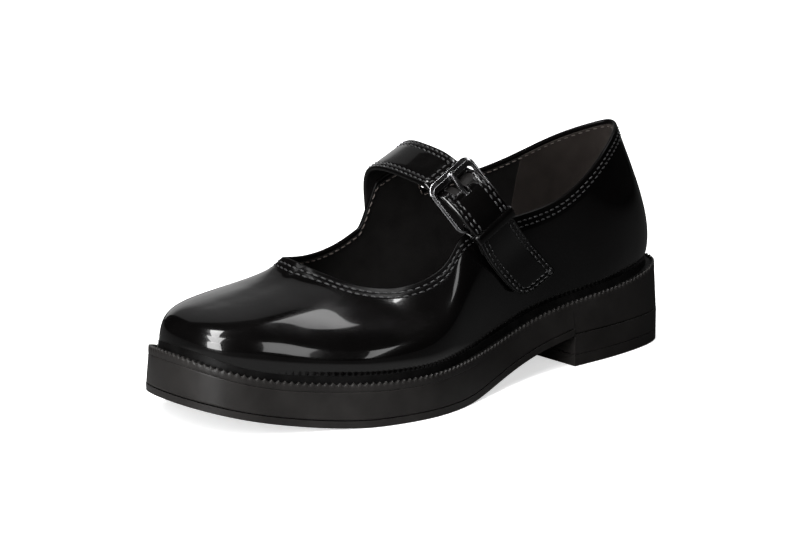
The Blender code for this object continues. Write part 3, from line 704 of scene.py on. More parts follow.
def thread_material(name, dark, light):
    """Waxed sewing thread with its ply showing as a fine twist."""
    material, tree, shader = new_material(name)
    inputs = {"Vector": object_space(tree), "Scale": 900.0, "Distortion": 1.5}
    twist = add_node(tree, "TexWave", inputs, bands_direction="DIAGONAL").outputs["Fac"]
    fill(tree, shader, {
        "Base Color": blend_colours(tree, twist, dark, light),
        "Roughness": span(tree, twist, 0, 1, 0.3, 0.45),
        "Normal": bump_stack(tree, (twist, 0.00008)),
    })
    return material


def metal_material():
    """Dark polished plate on the buckle, with fine brushing and small wear marks."""
    material, tree, shader = new_material("gunmetal")
    brushing, wear = noise(tree, 500.0, 3.0, 0.6, (1.0, 1.0, 9.0)), noise(tree, 260.0, 5.0, 0.65)
    fill(tree, shader, {
        "Base Color": blend_colours(tree, span(tree, wear, 0.4, 0.7), *METAL_COLOURS),
        "Metallic": 1.0,
        "Roughness": span(tree, wear, 0.3, 0.75, 0.13, 0.24),
        "Normal": bump_stack(tree, (brushing, 0.000015), (wear, 0.00003)),
    })
    return material


def paper_material():
    """Matt white studio paper, bright to look at and calmer in the shoe's gloss, where a painted pool of
    light near the shoe fades to dark beyond.
    """
    material, tree, shader = new_material("studio_paper")
    fill(tree, shader, {
        "Base Color": blend_colours(tree, noise(tree, 60.0), *PAPER_COLOURS),
        "Roughness": 0.9,
        "Specular IOR Level": 0.0,
        "Emission Color": (1, 1, 1, 1),
        "Emission Strength": PAPER_GLOW,
    })
    mapping = add_node(tree, "Mapping", {
        "Vector": object_space(tree),
        "Scale": (1 / GLOSS_POOL_HALF[0], 1 / GLOSS_POOL_HALF[1], 1.0),
        "Location": (-GLOSS_POOL_MIDDLE[0] / GLOSS_POOL_HALF[0], -GLOSS_POOL_MIDDLE[1] / GLOSS_POOL_HALF[1], 0.0),
    })
    reach = add_node(tree, "VectorMath", {0: mapping.outputs["Vector"]}, operation="LENGTH")
    away = span(tree, reach.outputs["Value"], *GLOSS_POOL_FADE)
    shade = blend_colours(tree, away, PAPER_POOL_IN_GLOSS, PAPER_UNLIT_IN_GLOSS)
    calm = add_node(tree, "BsdfDiffuse", {"Color": shade}).outputs["BSDF"]
    seen = add_node(tree, "LightPath", {}).outputs["Is Camera Ray"]
    mix = add_node(tree, "MixShader", {"Fac": seen, 1: calm, 2: shader.outputs["BSDF"]})
    fill(tree, tree.nodes["Material Output"], {"Surface": mix.outputs["Shader"]})
    return material


def screen_material():
    """Lit screen, brighter in its lower part."""
    material, tree, shader = new_material("studio_screen")
    tree.nodes.remove(shader)
    height = add_node(tree, "SeparateXYZ", {"Vector": object_space(tree)}).outputs["Z"]
    glow = add_node(tree, "Emission", {"Strength": span(tree, height, *SCREEN_STEP, *SCREEN_GLOW)})
    fill(tree, tree.nodes["Material Output"], {"Surface": glow.outputs["Emission"]})
    return material


PATENT_COLOURS = (0.0011, 0.0010, 0.0010), (0.0021, 0.0019, 0.0019)
RUBBER_COLOURS = (0.0098, 0.0089, 0.0085), (0.0156, 0.0143, 0.0135)
# Near-black of the ledge is painted shade under the overhanging skin; its lighter patches are dust.
LEDGE_SHADE_COLOURS = (0.0012, 0.0011, 0.0011), (0.0030, 0.0028, 0.0027)
METAL_COLOURS = (0.38, 0.38, 0.39), (0.52, 0.52, 0.53)
PAPER_COLOURS = (0.80, 0.80, 0.80), (0.83, 0.83, 0.83)

RUBBER = rubber_material()
PATENT = patent_material("patent_black", 0.25, 1.0, 0.05)
PATENT_EDGE = patent_material("patent_edge", 0.06, 0.06, 0.4)
LINING_DARK_AND_POCKET_SHADE = lining_material("lining_dark", (0.0016, 0.0012, 0.0011), (0.0030, 0.0024, 0.0021))
LINING_TAUPE = lining_material("lining_taupe", (0.0145, 0.0113, 0.0100), (0.0225, 0.0180, 0.0158))
RUBBER_LEDGE_SHADE = shaded_ledge_material()
SOCK = lining_material("sock_leather", (0.0032, 0.0025, 0.0023), (0.0060, 0.0048, 0.0044))
THREAD = thread_material("thread_black", (0.012, 0.012, 0.012), (0.030, 0.030, 0.031))
THREAD_BROWN = thread_material("thread_taupe", (0.045, 0.036, 0.032), (0.09, 0.074, 0.066))
METAL = metal_material()


def grid_faces(rows, size, rows_closed=False, size_closed=True, start=0):
    """Quads between neighbouring rows of an equal number of points."""
    row = np.arange(rows if rows_closed else rows - 1)[:, None] * size
    after_row = (row + size) % (rows * size)
    here = np.arange(size if size_closed else size - 1)[None, :]
    after = (here + 1) % size
    corners = (row + here, row + after, after_row + after, after_row + here)
    return start + np.stack(corners, -1).reshape(-1, 4)


def link(name, data):
    """A new object for a mesh, lamp or camera, linked to the scene."""
    made = bpy.data.objects.new(name, data)
    bpy.context.scene.collection.objects.link(made)
    return made


def closed_mesh(name, points, faces):
    """Mesh of a solid given in millimetres, its faces turned outwards."""
    mesh = bpy.data.meshes.new(name)
    mesh.from_pydata(place(points).tolist(), [], [list(map(int, face)) for face in faces])
    mesh.validate()
    solid = bmesh.new()
    solid.from_mesh(mesh)
    if solid.calc_volume(signed=True) < 0:
        mesh.flip_normals()
    solid.free()
    return mesh


def add_piece(name, points, faces, materials, replaced=(), face_looks=None, sharp=40):
    """One piece of the shoe, riding on its body, with a material number for each face."""
    mesh = closed_mesh(name, points, faces)
    mesh.shade_smooth()
    mesh.set_sharp_from_angle(angle=np.radians(sharp))
    for material in materials:
        mesh.materials.append(material)
    if face_looks is not None:
        mesh.polygons.foreach_set("material_index", np.asarray(face_looks, np.int32))
    made = link(name, mesh)
    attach(made, "root")
    if replaced:
        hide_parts(*replaced)
    return made


def bevel(piece, width, angle=40):
    """Rounds the piece's sharp edges, in millimetres."""
    rounding = piece.modifiers.new("rounding", "BEVEL")
    rounding.width = width * MM
    rounding.segments = 3
    rounding.limit_method = "ANGLE"
    rounding.angle_limit = np.radians(angle)


def strip_caps(size, shift=0):
    """Faces that close a loop by strips from its outer to its inner half."""
    caps = []
    for k in range(size // 2):
        strip = (k, k + 1, (size - k - 1 - shift) % size, (size - k - shift) % size)
        caps.append(tuple(dict.fromkeys(strip)))
    return [cap for cap in caps if len(cap) > 2]


def stacked_faces(loops, shift=0):
    """Faces of a solid through a stack of closed loops, closed by strips at both ends."""
    size = len(loops[0])
    last = (len(loops) - 1) * size
    caps = strip_caps(size, shift)
    faces = grid_faces(len(loops), size).tolist()
    faces += [tuple(reversed(cap)) for cap in caps]
    return faces + [tuple(last + i for i in cap) for cap in caps]


def stitch_template():
    """One stitch lying along the first axis, its ends dipping: unit length and unit radius."""
    turns = np.linspace(0, 2 * np.pi, STITCH_SIDES, endpoint=False)
    spots = [(-0.5, 0.0, STITCH_DIP)]
    for along, girth, lift in STITCH_PROFILE:
        spots += [(along, girth * np.cos(turn), lift + girth * np.sin(turn)) for turn in turns]
    spots.append((0.5, 0.0, STITCH_DIP))
    rings = len(STITCH_PROFILE)
    faces = grid_faces(rings, STITCH_SIDES, start=1).tolist()
    last = 1 + (rings - 1) * STITCH_SIDES
    for k in range(STITCH_SIDES):
        after = (k + 1) % STITCH_SIDES
        faces += [[0, 1 + after, 1 + k], [len(spots) - 1, last + k, last + after]]
    return np.array(spots), faces


def stitches(name, rows, material, radius=THREAD_RADIUS):
    """Rows of stitches in one mesh: each row is a path, its surface normals and whether it closes."""
    spots, faces = stitch_template()
    points, all_faces = [], []
    for path, normals, closed in rows:
        if closed:
            path, normals = np.vstack([path, path[:1]]), np.vstack([normals, normals[:1]])
        steps = np.append(0, np.cumsum(np.linalg.norm(np.diff(path, axis=0), axis=1)))
        count = max(1, int(round(steps[-1] / STITCH_PITCH)))
        length = steps[-1] / count * STITCH_FILL
        middles = (np.arange(count) + 0.5) * steps[-1] / count
        behind, middle, ahead = [
            np.column_stack([np.interp(middles + shift, steps, axis) for axis in path.T])
            for shift in (-STITCH_PITCH / 4, 0, STITCH_PITCH / 4)
        ]
        out = unit(np.column_stack([np.interp(middles, steps, axis) for axis in normals.T]))
        along = unit(ahead - behind)
        along = unit(along + STITCH_SLANT * unit(np.cross(out, along)))
        side = np.cross(out, along)
        for spot, a, s, o in zip(middle, along, side, out):
            start = len(points) * len(spots)
            points.append(spot + np.outer(spots[:, 0] * length, a)
                          + np.outer(spots[:, 1] * radius, s) + np.outer(spots[:, 2] * radius, o))
            all_faces += [[start + i for i in face] for face in faces]
    add_piece(name, np.vstack(points), all_faces, [material], sharp=180)


def make_platform():
    """Platform and welt in one wall: fine line under the welt, notched edge, and ledge whose faces are
    painted near-black as shade.
    """
    arcs = np.linspace(0, FULL_ARC, TOOTH_COUNT * TOOTH_COLUMNS, endpoint=False)
    station = PLAN(arcs)[:, 1]
    phase = np.arange(len(arcs)) / TOOTH_COLUMNS
    notch = (0.5 - 0.5 * np.cos(2 * np.pi * phase)) ** TOOTH_SHARPNESS
    groove = smooth_step((station - GROOVE_FADE[0]) / (GROOVE_FADE[1] - GROOVE_FADE[0]))
    floor, top = midsole_floor(station), TOP_HEIGHT(station)
    rows = [(inset, floor + rise) for inset, rise in PLATFORM_FOOT]
    rows += [(inset + spread * notch + dent * groove, top + rise - drop * notch)
             for inset, rise, spread, drop, dent in PLATFORM_WALL]
    loops = [with_height(plan_at(arcs, inset)[0], height) for inset, height in rows]
    faces = stacked_faces(loops)
    # Faces from the ledge row inward are painted near-black as shade.
    ledge = np.arange(len(faces)) // len(arcs) >= len(PLATFORM_FOOT) + SHADED_LEDGE_FROM
    add_piece("platform", np.vstack(loops), faces, [RUBBER, RUBBER_LEDGE_SHADE],
              ["midsole", "welt"], ledge)


def make_slab(name, node, arcs, heights, shift=0):
    """Rubber slab with rounded edges between two heights, each a function of station."""
    loops = [layer_loop(arcs, 0.0, height) for height in heights]
    faces = stacked_faces(loops, shift)
    bevel(add_piece(name, np.vstack(loops), faces, [RUBBER], [node]), SLAB_ROUND)


def make_slabs():
    """Heel block, the lift it stands on, and the tread of the forepart and shank."""
    outer_breast, inner_breast = arc_of("outer", HEEL_BREAST), arc_of("inner", HEEL_BREAST)
    heel = np.append(np.linspace(0, outer_breast, HEEL_COLUMNS),
                     np.linspace(inner_breast, FULL_ARC, HEEL_COLUMNS)[:-1])
    front = np.append(np.linspace(outer_breast + GAP, TOE_ARC, TREAD_COLUMNS),
                      np.linspace(TOE_ARC, inner_breast - GAP, TREAD_COLUMNS)[1:])
    for name, node, bottom, top in (("heel_lift_rounded", "heel_lift", 0.0, HEEL_LIFT_HEIGHT),
                                    ("heel_block", "heel", HEEL_LIFT_HEIGHT + GAP, HEEL_BLOCK_TOP)):
        make_slab(name, node, heel, [lambda s, z=z: np.full(len(s), z) for z in (bottom, top)])
    make_slab("tread", "outsole", front, [low_height, lambda s: low_height(s) + TREAD_THICKNESS], 1)


def rib_shares(arcs, depths, count):
    """Shares of the ribs at given depths under the collar's edge, then evenly down to the feather."""
    _, table = rib_curves(arcs, [np.zeros(len(arcs))])
    reach = 1 + wing_rise(table, arcs) / (3 * table[:, 5])
    coarse = np.linspace(0, 1, RIB_STEPS)
    surface, _ = rib_curves(arcs, [reach * share for share in coarse])
    steps = np.linalg.norm(np.diff(surface, axis=0), axis=2)
    length = np.vstack([np.zeros(len(arcs)), np.cumsum(steps, axis=0)])
    whole = length[-1]
    wanted = [np.full(len(arcs), depth) for depth in depths]
    wanted += [depths[-1] + (whole - depths[-1]) * share for share in np.linspace(0, 1, count + 1)[1:]]
    shares = []
    for depth in wanted:
        spot = [np.interp(w - d, length[:, k], coarse) for k, (w, d) in enumerate(zip(whole, depth))]
        shares.append(np.array(spot) * reach)
    return shares, np.array(wanted)


def upper_face(arcs, depths, count):
    """Outer face from the collar down to the feather, its normals, and each point's depth."""
    shares, depth = rib_shares(arcs, depths, count)
    surface, _ = rib_curves(arcs, shares)
    along = np.gradient(surface, axis=1)
    if abs(arcs[-1] - arcs[0]) > FULL_ARC * CLOSED_FROM:
        along = np.roll(surface, -1, axis=1) - np.roll(surface, 1, axis=1)
    return surface, unit(np.cross(np.gradient(surface, axis=0), along)), depth


def bump_at(distance, centre, width):
    """Bell curve about a distance."""
    return np.exp(-((distance - centre) / width) ** 2)


def edge_relief(depth, rows):
    """Height of the skin near a stitched edge: a folded bead, sunk stitch rows and soft puffs."""
    bumps = [EDGE_BEAD, (ROW_PUFF[0], sum(rows) / len(rows), ROW_PUFF[1]),
             (-BAND_SINK[0], rows[-1] + BAND_SINK[1], BAND_SINK[2])]
    bumps += [(-ROW_SINK[0], row, ROW_SINK[1]) for row in rows]
    return sum(height * bump_at(depth, centre, width) for height, centre, width in bumps)


def soft_troughs(arcs, depth):
    """Depth of the wear creases and dents of the skin at each point, in millimetres."""
    share = depth / depth[-1]
    spot = np.stack([np.broadcast_to(arcs, share.shape), share * DENT_SCALE], -1)
    relief = np.zeros(share.shape)
    for half, station, low, end_station, high, width, sink in DENTS:
        start = np.array([arc_of(half, station), low * DENT_SCALE])
        end = np.array([arc_of(half, end_station), high * DENT_SCALE])
        along = end - start
        t = np.clip(((spot - start) @ along) / (along @ along), 0, 1)
        away = np.linalg.norm(spot - start - t[..., None] * along, axis=-1)
        relief -= sink * bump_at(away, 0, width)
    return relief


def make_upper():
    """Patent skin: outer face, rounded collar edge and the back of the skin behind the linings."""
    arcs = np.linspace(0, FULL_ARC, SKIN_COLUMNS, endpoint=False)
    outer, normal, depth = upper_face(arcs, EDGE_DEPTHS, SKIN_ROWS)
    relief = edge_relief(depth, COLLAR_ROWS) + soft_troughs(arcs, depth)
    inner = outer - normal * WALL
    face = outer + normal * relief[..., None]
    outward, rise, radius = normal[0], unit(outer[0] - outer[1]), WALL / 2
    roll = [outer[0] - outward * radius * (1 - np.cos(turn)) + rise * radius * np.sin(turn)
            for turn in np.linspace(0, np.pi, ROLL_STEPS)[1:-1]]
    foot, inner_foot = outer[-1] - (0, 0, SKIN_FOOT), inner[-1] - (0, 0, SKIN_FOOT)
    loops = [foot, *face[::-1], *roll, *inner[::2], inner_foot]
    faces = grid_faces(len(loops), len(arcs), rows_closed=True)
    band = len(face) + 1 - BAND_ROWS
    row = np.arange(len(faces)) // len(arcs)
    edge = (row >= band) & (row < len(face) + ROLL_STEPS)
    add_piece("upper_skin", np.vstack(loops), faces, [PATENT, PATENT_EDGE], ["upper"], edge)


def make_lining(name, half_start, half_end, seam_lean, depth, material):
    """Thin shell inside the skin between two seams that lean from the collar down to the footbed."""
    start, end = arc_of(*half_start), arc_of(*half_end)
    if end < start:
        end += FULL_ARC
    count = int((end - start) / LINING_STEP)
    wide = np.linspace(start - SEAM_REACH, end + SEAM_REACH, count + SEAM_COLUMNS)
    surface, normal, _ = upper_face(wide % FULL_ARC, LINING_DEPTHS, LINING_ROWS)
    front, back = [], []
    for face, out, share in zip(surface, normal, np.linspace(0, 1, len(surface))):
        lean = seam_lean * (1 - share)
        arcs = np.linspace(start + lean, end - lean, count)
        spot, out = cubic(wide, face)(arcs), unit(cubic(wide, out)(arcs))
        front.append(spot - out * depth)
        back.append(spot - out * (WALL - LINING_OVERLAP))
    loops = np.stack(front + back[::-1], axis=1)
    add_piece(name, np.vstack(loops), stacked_faces(loops, 1), [material])


def make_footbed():
    """Sock on the insole with a rolled edge."""
    arcs = np.linspace(0, FULL_ARC, FOOTBED_COLUMNS, endpoint=False)
    base = LEDGE_RISE + GAP
    loops = [layer_loop(arcs, inset, lambda s, r=rise: TOP_HEIGHT(s) + base + r) for inset, rise in FOOTBED]
    add_piece("footbed", np.vstack(loops), stacked_faces(loops), [SOCK], ["insole"])


def strap_spot(at, across, lift):
    """Point of the strap at a distance from its root, across from its middle and out from it."""
    at, across, lift = np.broadcast_arrays(np.asarray(at, float), across, lift)
    front, rear = STRAP_FRONT(at), STRAP_REAR(at)
    ahead = STRAP_FRONT(at + 0.5) + STRAP_REAR(at + 0.5) - STRAP_FRONT(at - 0.5) - STRAP_REAR(at - 0.5)
    side = unit(rear - front)
    out = unit(np.cross(side, ahead))
    return (front + rear) / 2 + side * across[..., None] + out * lift[..., None], out


def fuller_edge(front, rear):
    """Rear edge of the strap, a little fuller where the buckle holds it."""
    middle, reach, out = STRAP_FULLER

    def edge(at):
        swell = out * bump_at(np.asarray(at, float), middle, reach)
        return rear(at) + unit(rear(at) - front(at)) * swell[..., None]

    return edge


def strap_half(at):
    return np.linalg.norm(STRAP_REAR(at) - STRAP_FRONT(at), axis=-1) / 2


def edge_distance(at, across, start, end, corners):
    """Distance in from the edge of a stretch of strap whose four corners are rounded."""
    half = strap_half(at)
    front, rear, behind, ahead = half + across, half - across, at - start, end - at
    nearest = np.minimum(np.minimum(front, rear), np.minimum(behind, ahead))
    for one, other, radius in ((front, behind, corners[0]), (rear, behind, corners[1]),
                               (front, ahead, corners[2]), (rear, ahead, corners[3])):
        round_off = radius - np.hypot(radius - one, radius - other)
        nearest = np.where((one < radius) & (other < radius), np.minimum(nearest, round_off), nearest)
    return nearest


def strap_relief(at, across):
    """Sunk stitch rows and soft puffs of the strap's outer face."""
    relief = 0.0
    for start, end, corners in STITCHED:
        inside = edge_distance(at, across, start, end, corners)
        ease = smooth_step(inside / STRAP_EASE)
        relief = relief + edge_relief(np.maximum(inside, 0), STRAP_ROWS) * ease
    return relief


def strap_pocket(at, across):
    """Depth of the hollow inside the buckle's frame, ending at a curved rim; its deepest part is painted
    dark as shade.
    """
    rim = POCKET_RIM + POCKET_CURVE * np.maximum(across - POCKET_STRAIGHT, 0) ** 2
    share = smooth_step((at - POCKET_FROM) / POCKET_EASE) * smooth_step((rim - at) / POCKET_RIM_EASE)
    share = share * smooth_step((across - POCKET_ACROSS[0]) / POCKET_EASE)
    return POCKET_DEPTH * share * smooth_step((POCKET_ACROSS[1] - across) / POCKET_EASE)


def edge_steps(half):
    """Distances across a strip: close together near both edges and wide in its middle."""
    steps = np.array(EDGE_STEPS)
    middle = np.linspace(0, 1, MIDDLE_STEPS + 2)[1:-1]
    low, high = -half + steps[-1], half - steps[-1]
    return np.concatenate([-half + steps, low + (high - low) * middle, (half - steps)[::-1]])


def weld(piece):
    """Joins points that lie on one another and drops the faces this leaves without area."""
    mesh = bmesh.new()
    mesh.from_mesh(piece.data)
    bmesh.ops.remove_doubles(mesh, verts=mesh.verts, dist=WELD_REACH)
    bmesh.ops.dissolve_degenerate(mesh, edges=mesh.edges, dist=WELD_REACH)
    mesh.to_mesh(piece.data)
    mesh.free()


def carve(target, cutter, solver="EXACT"):
    """Takes the cutter's shape out of the target for good and removes the cutter."""
    boolean = target.modifiers.new("cut", "BOOLEAN")
    boolean.operation = "DIFFERENCE"
    boolean.solver = solver
    boolean.object = cutter
    graph = bpy.context.evaluated_depsgraph_get()
    mesh = bpy.data.meshes.new_from_object(target.evaluated_get(graph))
    target.modifiers.clear()
    target.data = mesh
    bpy.data.objects.remove(cutter, do_unlink=True)


def buckle_block(half, start, end, low, high):
    """A box in the buckle's own directions, as a cutter."""
    corners = ((-half, start), (half, start), (half, end), (-half, end))
    points = np.array([buckle_point(a, b, z) for z in (low, high) for a, b in corners])
    faces = grid_faces(2, 4).tolist() + [(3, 2, 1, 0), (4, 5, 6, 7)]
    return link("slot_block", closed_mesh("slot_block", points, faces))


def make_strap():
    """Padded strap with rounded edges, stitched rows, the hole for the prong and painted shade in the hollow
    inside the buckle.
    """
    ends = np.array(EDGE_STEPS)
    before = np.arange(ends[-1] + STRAP_STEP, POCKET_STEPS[0], STRAP_STEP)
    fine = np.arange(*POCKET_STEPS, POCKET_STEP)
    after = np.arange(POCKET_STEPS[1], STRAP_LENGTH - ends[-1], STRAP_STEP)
    at = np.concatenate([ends, before, fine, after, (STRAP_LENGTH - ends)[::-1]])
    corners = (STRAP_ROOT_CORNER, STRAP_ROOT_CORNER, STRAP_FRONT_CORNER, STRAP_BACK_CORNER)
    half, root = strap_half(at), corner_inset(at, STRAP_ROOT_CORNER)
    front = -half + root + corner_inset(STRAP_LENGTH - at, STRAP_FRONT_CORNER)
    rear = half - root - corner_inset(STRAP_LENGTH - at, STRAP_BACK_CORNER)
    rows, hollows = [], []
    for a, low, high in zip(at, front, rear):
        across = (low + high) / 2 + edge_steps((high - low) / 2)
        spots = np.full(len(across), a)
        tight = 1 - np.clip(edge_distance(spots, across, 0, STRAP_LENGTH, corners) / STRAP_ROUND, 0, 1)
        thick = STRAP_THICKNESS / 2 * np.sqrt(1 - tight ** 2)
        hollows.append(strap_pocket(a, across))
        relief_here = strap_relief(spots, across) - hollows[-1]
        outer, _ = strap_spot(a, across, thick + relief_here * (1 - tight))
        inner, _ = strap_spot(a, across, -thick)
        rows.append(np.vstack([outer, inner[-2:0:-1]]))
    size = len(rows[0])
    # Underside faces take the lining; outer faces deep in the pocket take it too, as painted shade.
    looks = np.ones((len(rows) - 1, size), int)
    looks[:, :len(across) - 1] = np.array(hollows)[1:, 1:] > POCKET_DEPTH * POCKET_PAINTED_SHADE_FROM
    piece = add_piece("strap_padded", np.vstack(rows), grid_faces(len(rows), size), [PATENT, LINING_DARK_AND_POCKET_SHADE],
                      ["strap"], looks.ravel(), sharp=180)
    weld(piece)
    carve(piece, buckle_block(*STRAP_HOLE))
    return piece


def strap_row(start, end, corners, inset, closed):
    """Path of one stitch row round a stretch of strap, with its outward directions."""
    def corner(radius, side, middle, heading, turns):
        reach, half = radius - inset, strap_half(middle) - radius
        return [(middle + heading * reach * np.sin(t), side * (half + reach * np.cos(t))) for t in turns]

    quarter = np.linspace(0, 1, TURN_STEPS) * np.pi / 2
    out_at = np.arange(start + corners[0], end - corners[2], STRAP_STEP)
    flat = [(a, inset - strap_half(a)) for a in out_at]
    flat += corner(corners[2], -1, end - corners[2], 1, quarter)
    flat += corner(corners[3], 1, end - corners[3], 1, quarter[::-1])
    back_at = np.arange(end - corners[3], start + corners[1], -STRAP_STEP)
    flat += [(a, strap_half(a) - inset) for a in back_at]
    if closed:
        flat += corner(corners[1], 1, start + corners[1], -1, quarter)
        flat += corner(corners[0], -1, start + corners[0], -1, quarter[::-1])
    at, across = np.array(flat).T
    path, out = strap_spot(at, across, STRAP_THICKNESS / 2 + strap_relief(at, across) + THREAD_RIDE)
    return path, out, closed


def make_strap_stitches():
    """Double rows round both stretches of the strap, the lower one open under the buckle."""
    rows = [strap_row(*stretch, inset, closed)
            for stretch, closed in zip(STITCHED, (True, False)) for inset in STRAP_ROWS]
    stitches("strap_stitches", rows, THREAD)


def make_collar_stitches():
    """Double rows along the collar and throat, outside and showing inside on the linings."""
    arcs = np.linspace(0, FULL_ARC, COLLAR_COLUMNS, endpoint=False)
    surface, normal, depth = upper_face(arcs, COLLAR_ROWS, COLLAR_LAYERS)
    rows = []
    for k in range(len(COLLAR_ROWS)):
        lift = edge_relief(depth[k], COLLAR_ROWS)[:, None] + THREAD_RIDE
        rows.append((surface[k] + normal[k] * lift, normal[k], True))
    inner_row = (surface[0] - normal[0] * (LINING_FRONT + LINING_OVERLAP), -normal[0], True)
    stitches("collar_stitches", rows, THREAD)
    stitches("lining_stitches", [inner_row], THREAD_BROWN, INNER_THREAD_RADIUS)


def ring_tube(name, loops, materials, replaced, sharp):
    """Solid closed both ways through a ring of closed loops."""
    faces = grid_faces(len(loops), len(loops[0]), rows_closed=True)
    return add_piece(name, np.vstack(loops), faces, materials, [replaced], sharp=sharp)


def make_buckle_frame():
    """Rounded rectangle with a wide bevelled upper bar and softened edges."""
    loops = []
    for half_width, upper, lower, radius, height in FRAME:
        loop = rounded_loop(half_width, upper, lower, radius)
        loops.append(buckle_point(loop[:, 0], loop[:, 1], height))
    bevel(ring_tube("buckle_bars", loops, [METAL], "buckle_frame", 30), *FRAME_ROUND)


def rounded(shares):
    """Cosines or sines of a circle's turns, pushed out towards a square."""
    return np.sign(shares) * np.abs(shares) ** STRIP_SQUARE


def soft_strip(name, front, rear, thickness, material, replaced):
    """A strip between two edges with rounded rims."""
    middle, half = (front + rear) / 2, np.linalg.norm(rear - front, axis=1) / 2
    side, out = unit(rear - front), unit(np.cross(rear - front, np.gradient(middle, axis=0)))
    turns = np.linspace(0, 2 * np.pi, STRIP_SIDES, endpoint=False)
    across, lift = rounded(np.cos(turns)), rounded(np.sin(turns))
    loops = [m + np.outer(across * h, s) + np.outer(lift * thickness / 2, o)
             for m, s, o, h in zip(middle, side, out, half)]
    return add_piece(name, np.vstack(loops), stacked_faces(loops), [material], [replaced], sharp=60)


def make_tab():
    """Leaf on the quarter, turned over the lower bar, with the prong's slot."""
    along, height = bar_turn(BAR_REACH + GAP + TAB_THICKNESS / 2, *TAB_TURN, TURN_STEPS)
    front = np.vstack([column(TAB, 0, 1, 2), buckle_point(-TAB_HALF, along, height)])
    rear = np.vstack([column(TAB, 3, 4, 5), buckle_point(TAB_HALF, along, height)])
    knots = np.arange(len(front))
    fine = np.linspace(0, knots[-1], LEAF_STEPS)
    front, rear = cubic(knots, front)(fine), cubic(knots, rear)(fine)
    tab = soft_strip("buckle_leaf", front, rear, TAB_THICKNESS, PATENT, "buckle_tab")
    carve(tab, buckle_block(*TAB_SLOT), solver="FAST")


def make_prong():
    """Prong in one rounded strip, hooked round the lower bar, with its tip on the upper one."""
    along, height = bar_turn(BAR_REACH + GAP + PRONG_THICKNESS / 2, *PRONG_TURN, TURN_STEPS)
    hook = np.column_stack([along, height, np.full(TURN_STEPS, PRONG[-1][2])])
    rows = np.vstack([PRONG, hook])
    knots = np.arange(len(rows))
    along, height, half = cubic(knots, rows)(np.linspace(0, knots[-1], PRONG_STEPS)).T
    front, rear = buckle_point(-half, along, height), buckle_point(half, along, height)
    soft_strip("prong_rounded", front, rear, PRONG_THICKNESS, METAL, "buckle_prong")


def make_keeper():
    """Closed leather band round the strap, just below the buckle."""
    loops = []
    for share, grow in KEEPER_SECTION:
        at = KEEPER_AT + share * KEEPER_WIDTH
        across = strap_half(at) + GAP + grow * KEEPER_THICKNESS
        deep = STRAP_THICKNESS / 2 + GAP + grow * KEEPER_THICKNESS
        ring = rounded_loop(across, -deep, deep, KEEPER_CORNER + grow * KEEPER_THICKNESS)
        loops.append(strap_spot(np.full(len(ring), at), ring[:, 0], ring[:, 1])[0])
    ring_tube("keeper_band", loops, [PATENT], "keeper", 60)


def direction(azimuth, elevation):
    """Unit vector towards an azimuth and elevation in degrees; azimuth 0 is in front of the toe."""
    a, e = np.radians(azimuth), np.radians(elevation)
    return Vector((np.sin(a) * np.cos(e), -np.cos(a) * np.cos(e), np.sin(e)))


def make_camera():
    """Long lens at the height and side the shoe is seen from."""
    lens = bpy.data.cameras.new("camera")
    lens.sensor_width = SENSOR
    lens.lens = FOCAL
    lens.clip_end = CLIP_END
    camera = link("camera", lens)
    away = direction(CAMERA_AZIMUTH, CAMERA_ELEVATION)
    camera.location = Vector(CAMERA_TARGET) + away * CAMERA_DISTANCE
    camera.rotation_euler = away.to_track_quat("Z", "Y").to_euler()
    bpy.context.scene.camera = camera


def make_light(name, centre, faces, along, width, height, radiance, mirrored):
    """Softbox that faces a point; an unmirrored one lights the shoe without showing in its gloss."""
    lamp = bpy.data.lights.new(name, "AREA")
    lamp.shape = "RECTANGLE"
    lamp.size = width
    lamp.size_y = height
    lamp.energy = radiance * np.pi * width * height
    back = (Vector(centre) - Vector(faces)).normalized()
    side = (Vector(along) - back * back.dot(Vector(along))).normalized()
    turn = Matrix((side, back.cross(side), back)).transposed().to_4x4()
    made = link(name, lamp)
    made.matrix_world = Matrix.Translation(centre) @ turn
    made.visible_glossy = mirrored
    made.visible_camera = False
    return made


def shade_from(lamp, piece):
    """Holds a softbox's light off one piece of the shoe, as a flag on a stand does."""
    shaded = bpy.data.collections.new("shaded_pieces")
    shaded.objects.link(piece)
    shaded.collection_objects[0].light_linking.link_state = "EXCLUDE"
    lamp.light_linking.receiver_collection = shaded


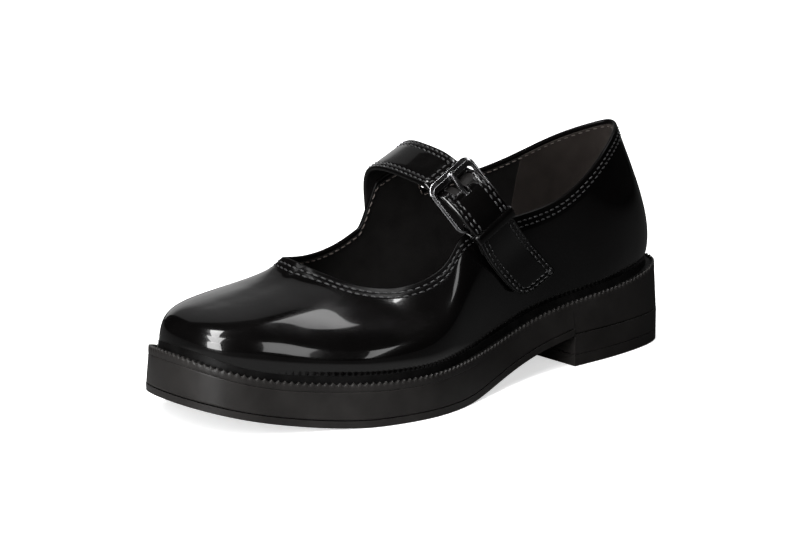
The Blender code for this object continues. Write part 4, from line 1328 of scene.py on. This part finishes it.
def stage_sheet(name, corners, material):
    """Flat sheet of the studio, not part of the shoe."""
    mesh = bpy.data.meshes.new(name)
    mesh.from_pydata(corners, [], [(0, 1, 2, 3)])
    mesh.materials.append(material)
    sheet = link(name, mesh)
    return sheet


def make_studio():
    """Wide pale floor under the shoe, and a pale screen behind it that fades upwards."""
    around = ((-1, -1), (1, -1), (1, 1), (-1, 1))
    floor = [(x * FLOOR_HALF, y * FLOOR_HALF, FLOOR_DROP) for x, y in around]
    stage_sheet("floor", floor, paper_material())
    away = direction(CAMERA_AZIMUTH + 180, 0) * SCREEN_AWAY
    side = Vector((-away.y, away.x, 0)).normalized() * SCREEN_HALF
    top = Vector((0, 0, SCREEN_HEIGHT))
    screen = [away - side, away + side, away + side + top, away - side + top]
    stage_sheet("screen", screen, screen_material()).visible_camera = False


def make_world():
    """White surround behind the shoe, dark in its reflections."""
    world = bpy.data.worlds.new("studio")
    world.use_nodes = True
    tree = world.node_tree
    seen = add_node(tree, "LightPath", {}).outputs["Is Camera Ray"]
    fill(tree, tree.nodes["Background"], {"Color": blend_colours(tree, seen, SURROUND, (1, 1, 1))})
    bpy.context.scene.world = world
    bpy.context.scene.view_settings.view_transform = "Standard"


STRAP_FRONT, REAR_LINE, STRAP_LENGTH = strap_curves()
STRAP_REAR = fuller_edge(STRAP_FRONT, REAR_LINE)
STITCHED = (
    # start, end, corner radii: front and rear at the start, front and rear at the end
    FIRST_STITCHED,
    (LAST_STITCHED_FROM, STRAP_LENGTH, (0.0, 0.0, STRAP_FRONT_CORNER, STRAP_BACK_CORNER)),
)
make_platform()
make_slabs()
make_footbed()
make_upper()
make_lining("vamp_lining", *VAMP_LINING, LINING_FRONT, LINING_DARK_AND_POCKET_SHADE)
make_lining("quarter_lining", *QUARTER_LINING, LINING_REAR, LINING_TAUPE)
make_collar_stitches()
strap = make_strap()
make_strap_stitches()
make_tab()
make_buckle_frame()
make_prong()
make_keeper()

make_studio()
make_world()
make_camera()
lamps = {light[0]: make_light(*light) for light in LIGHTS}
shade_from(lamps["side_box"], strap)
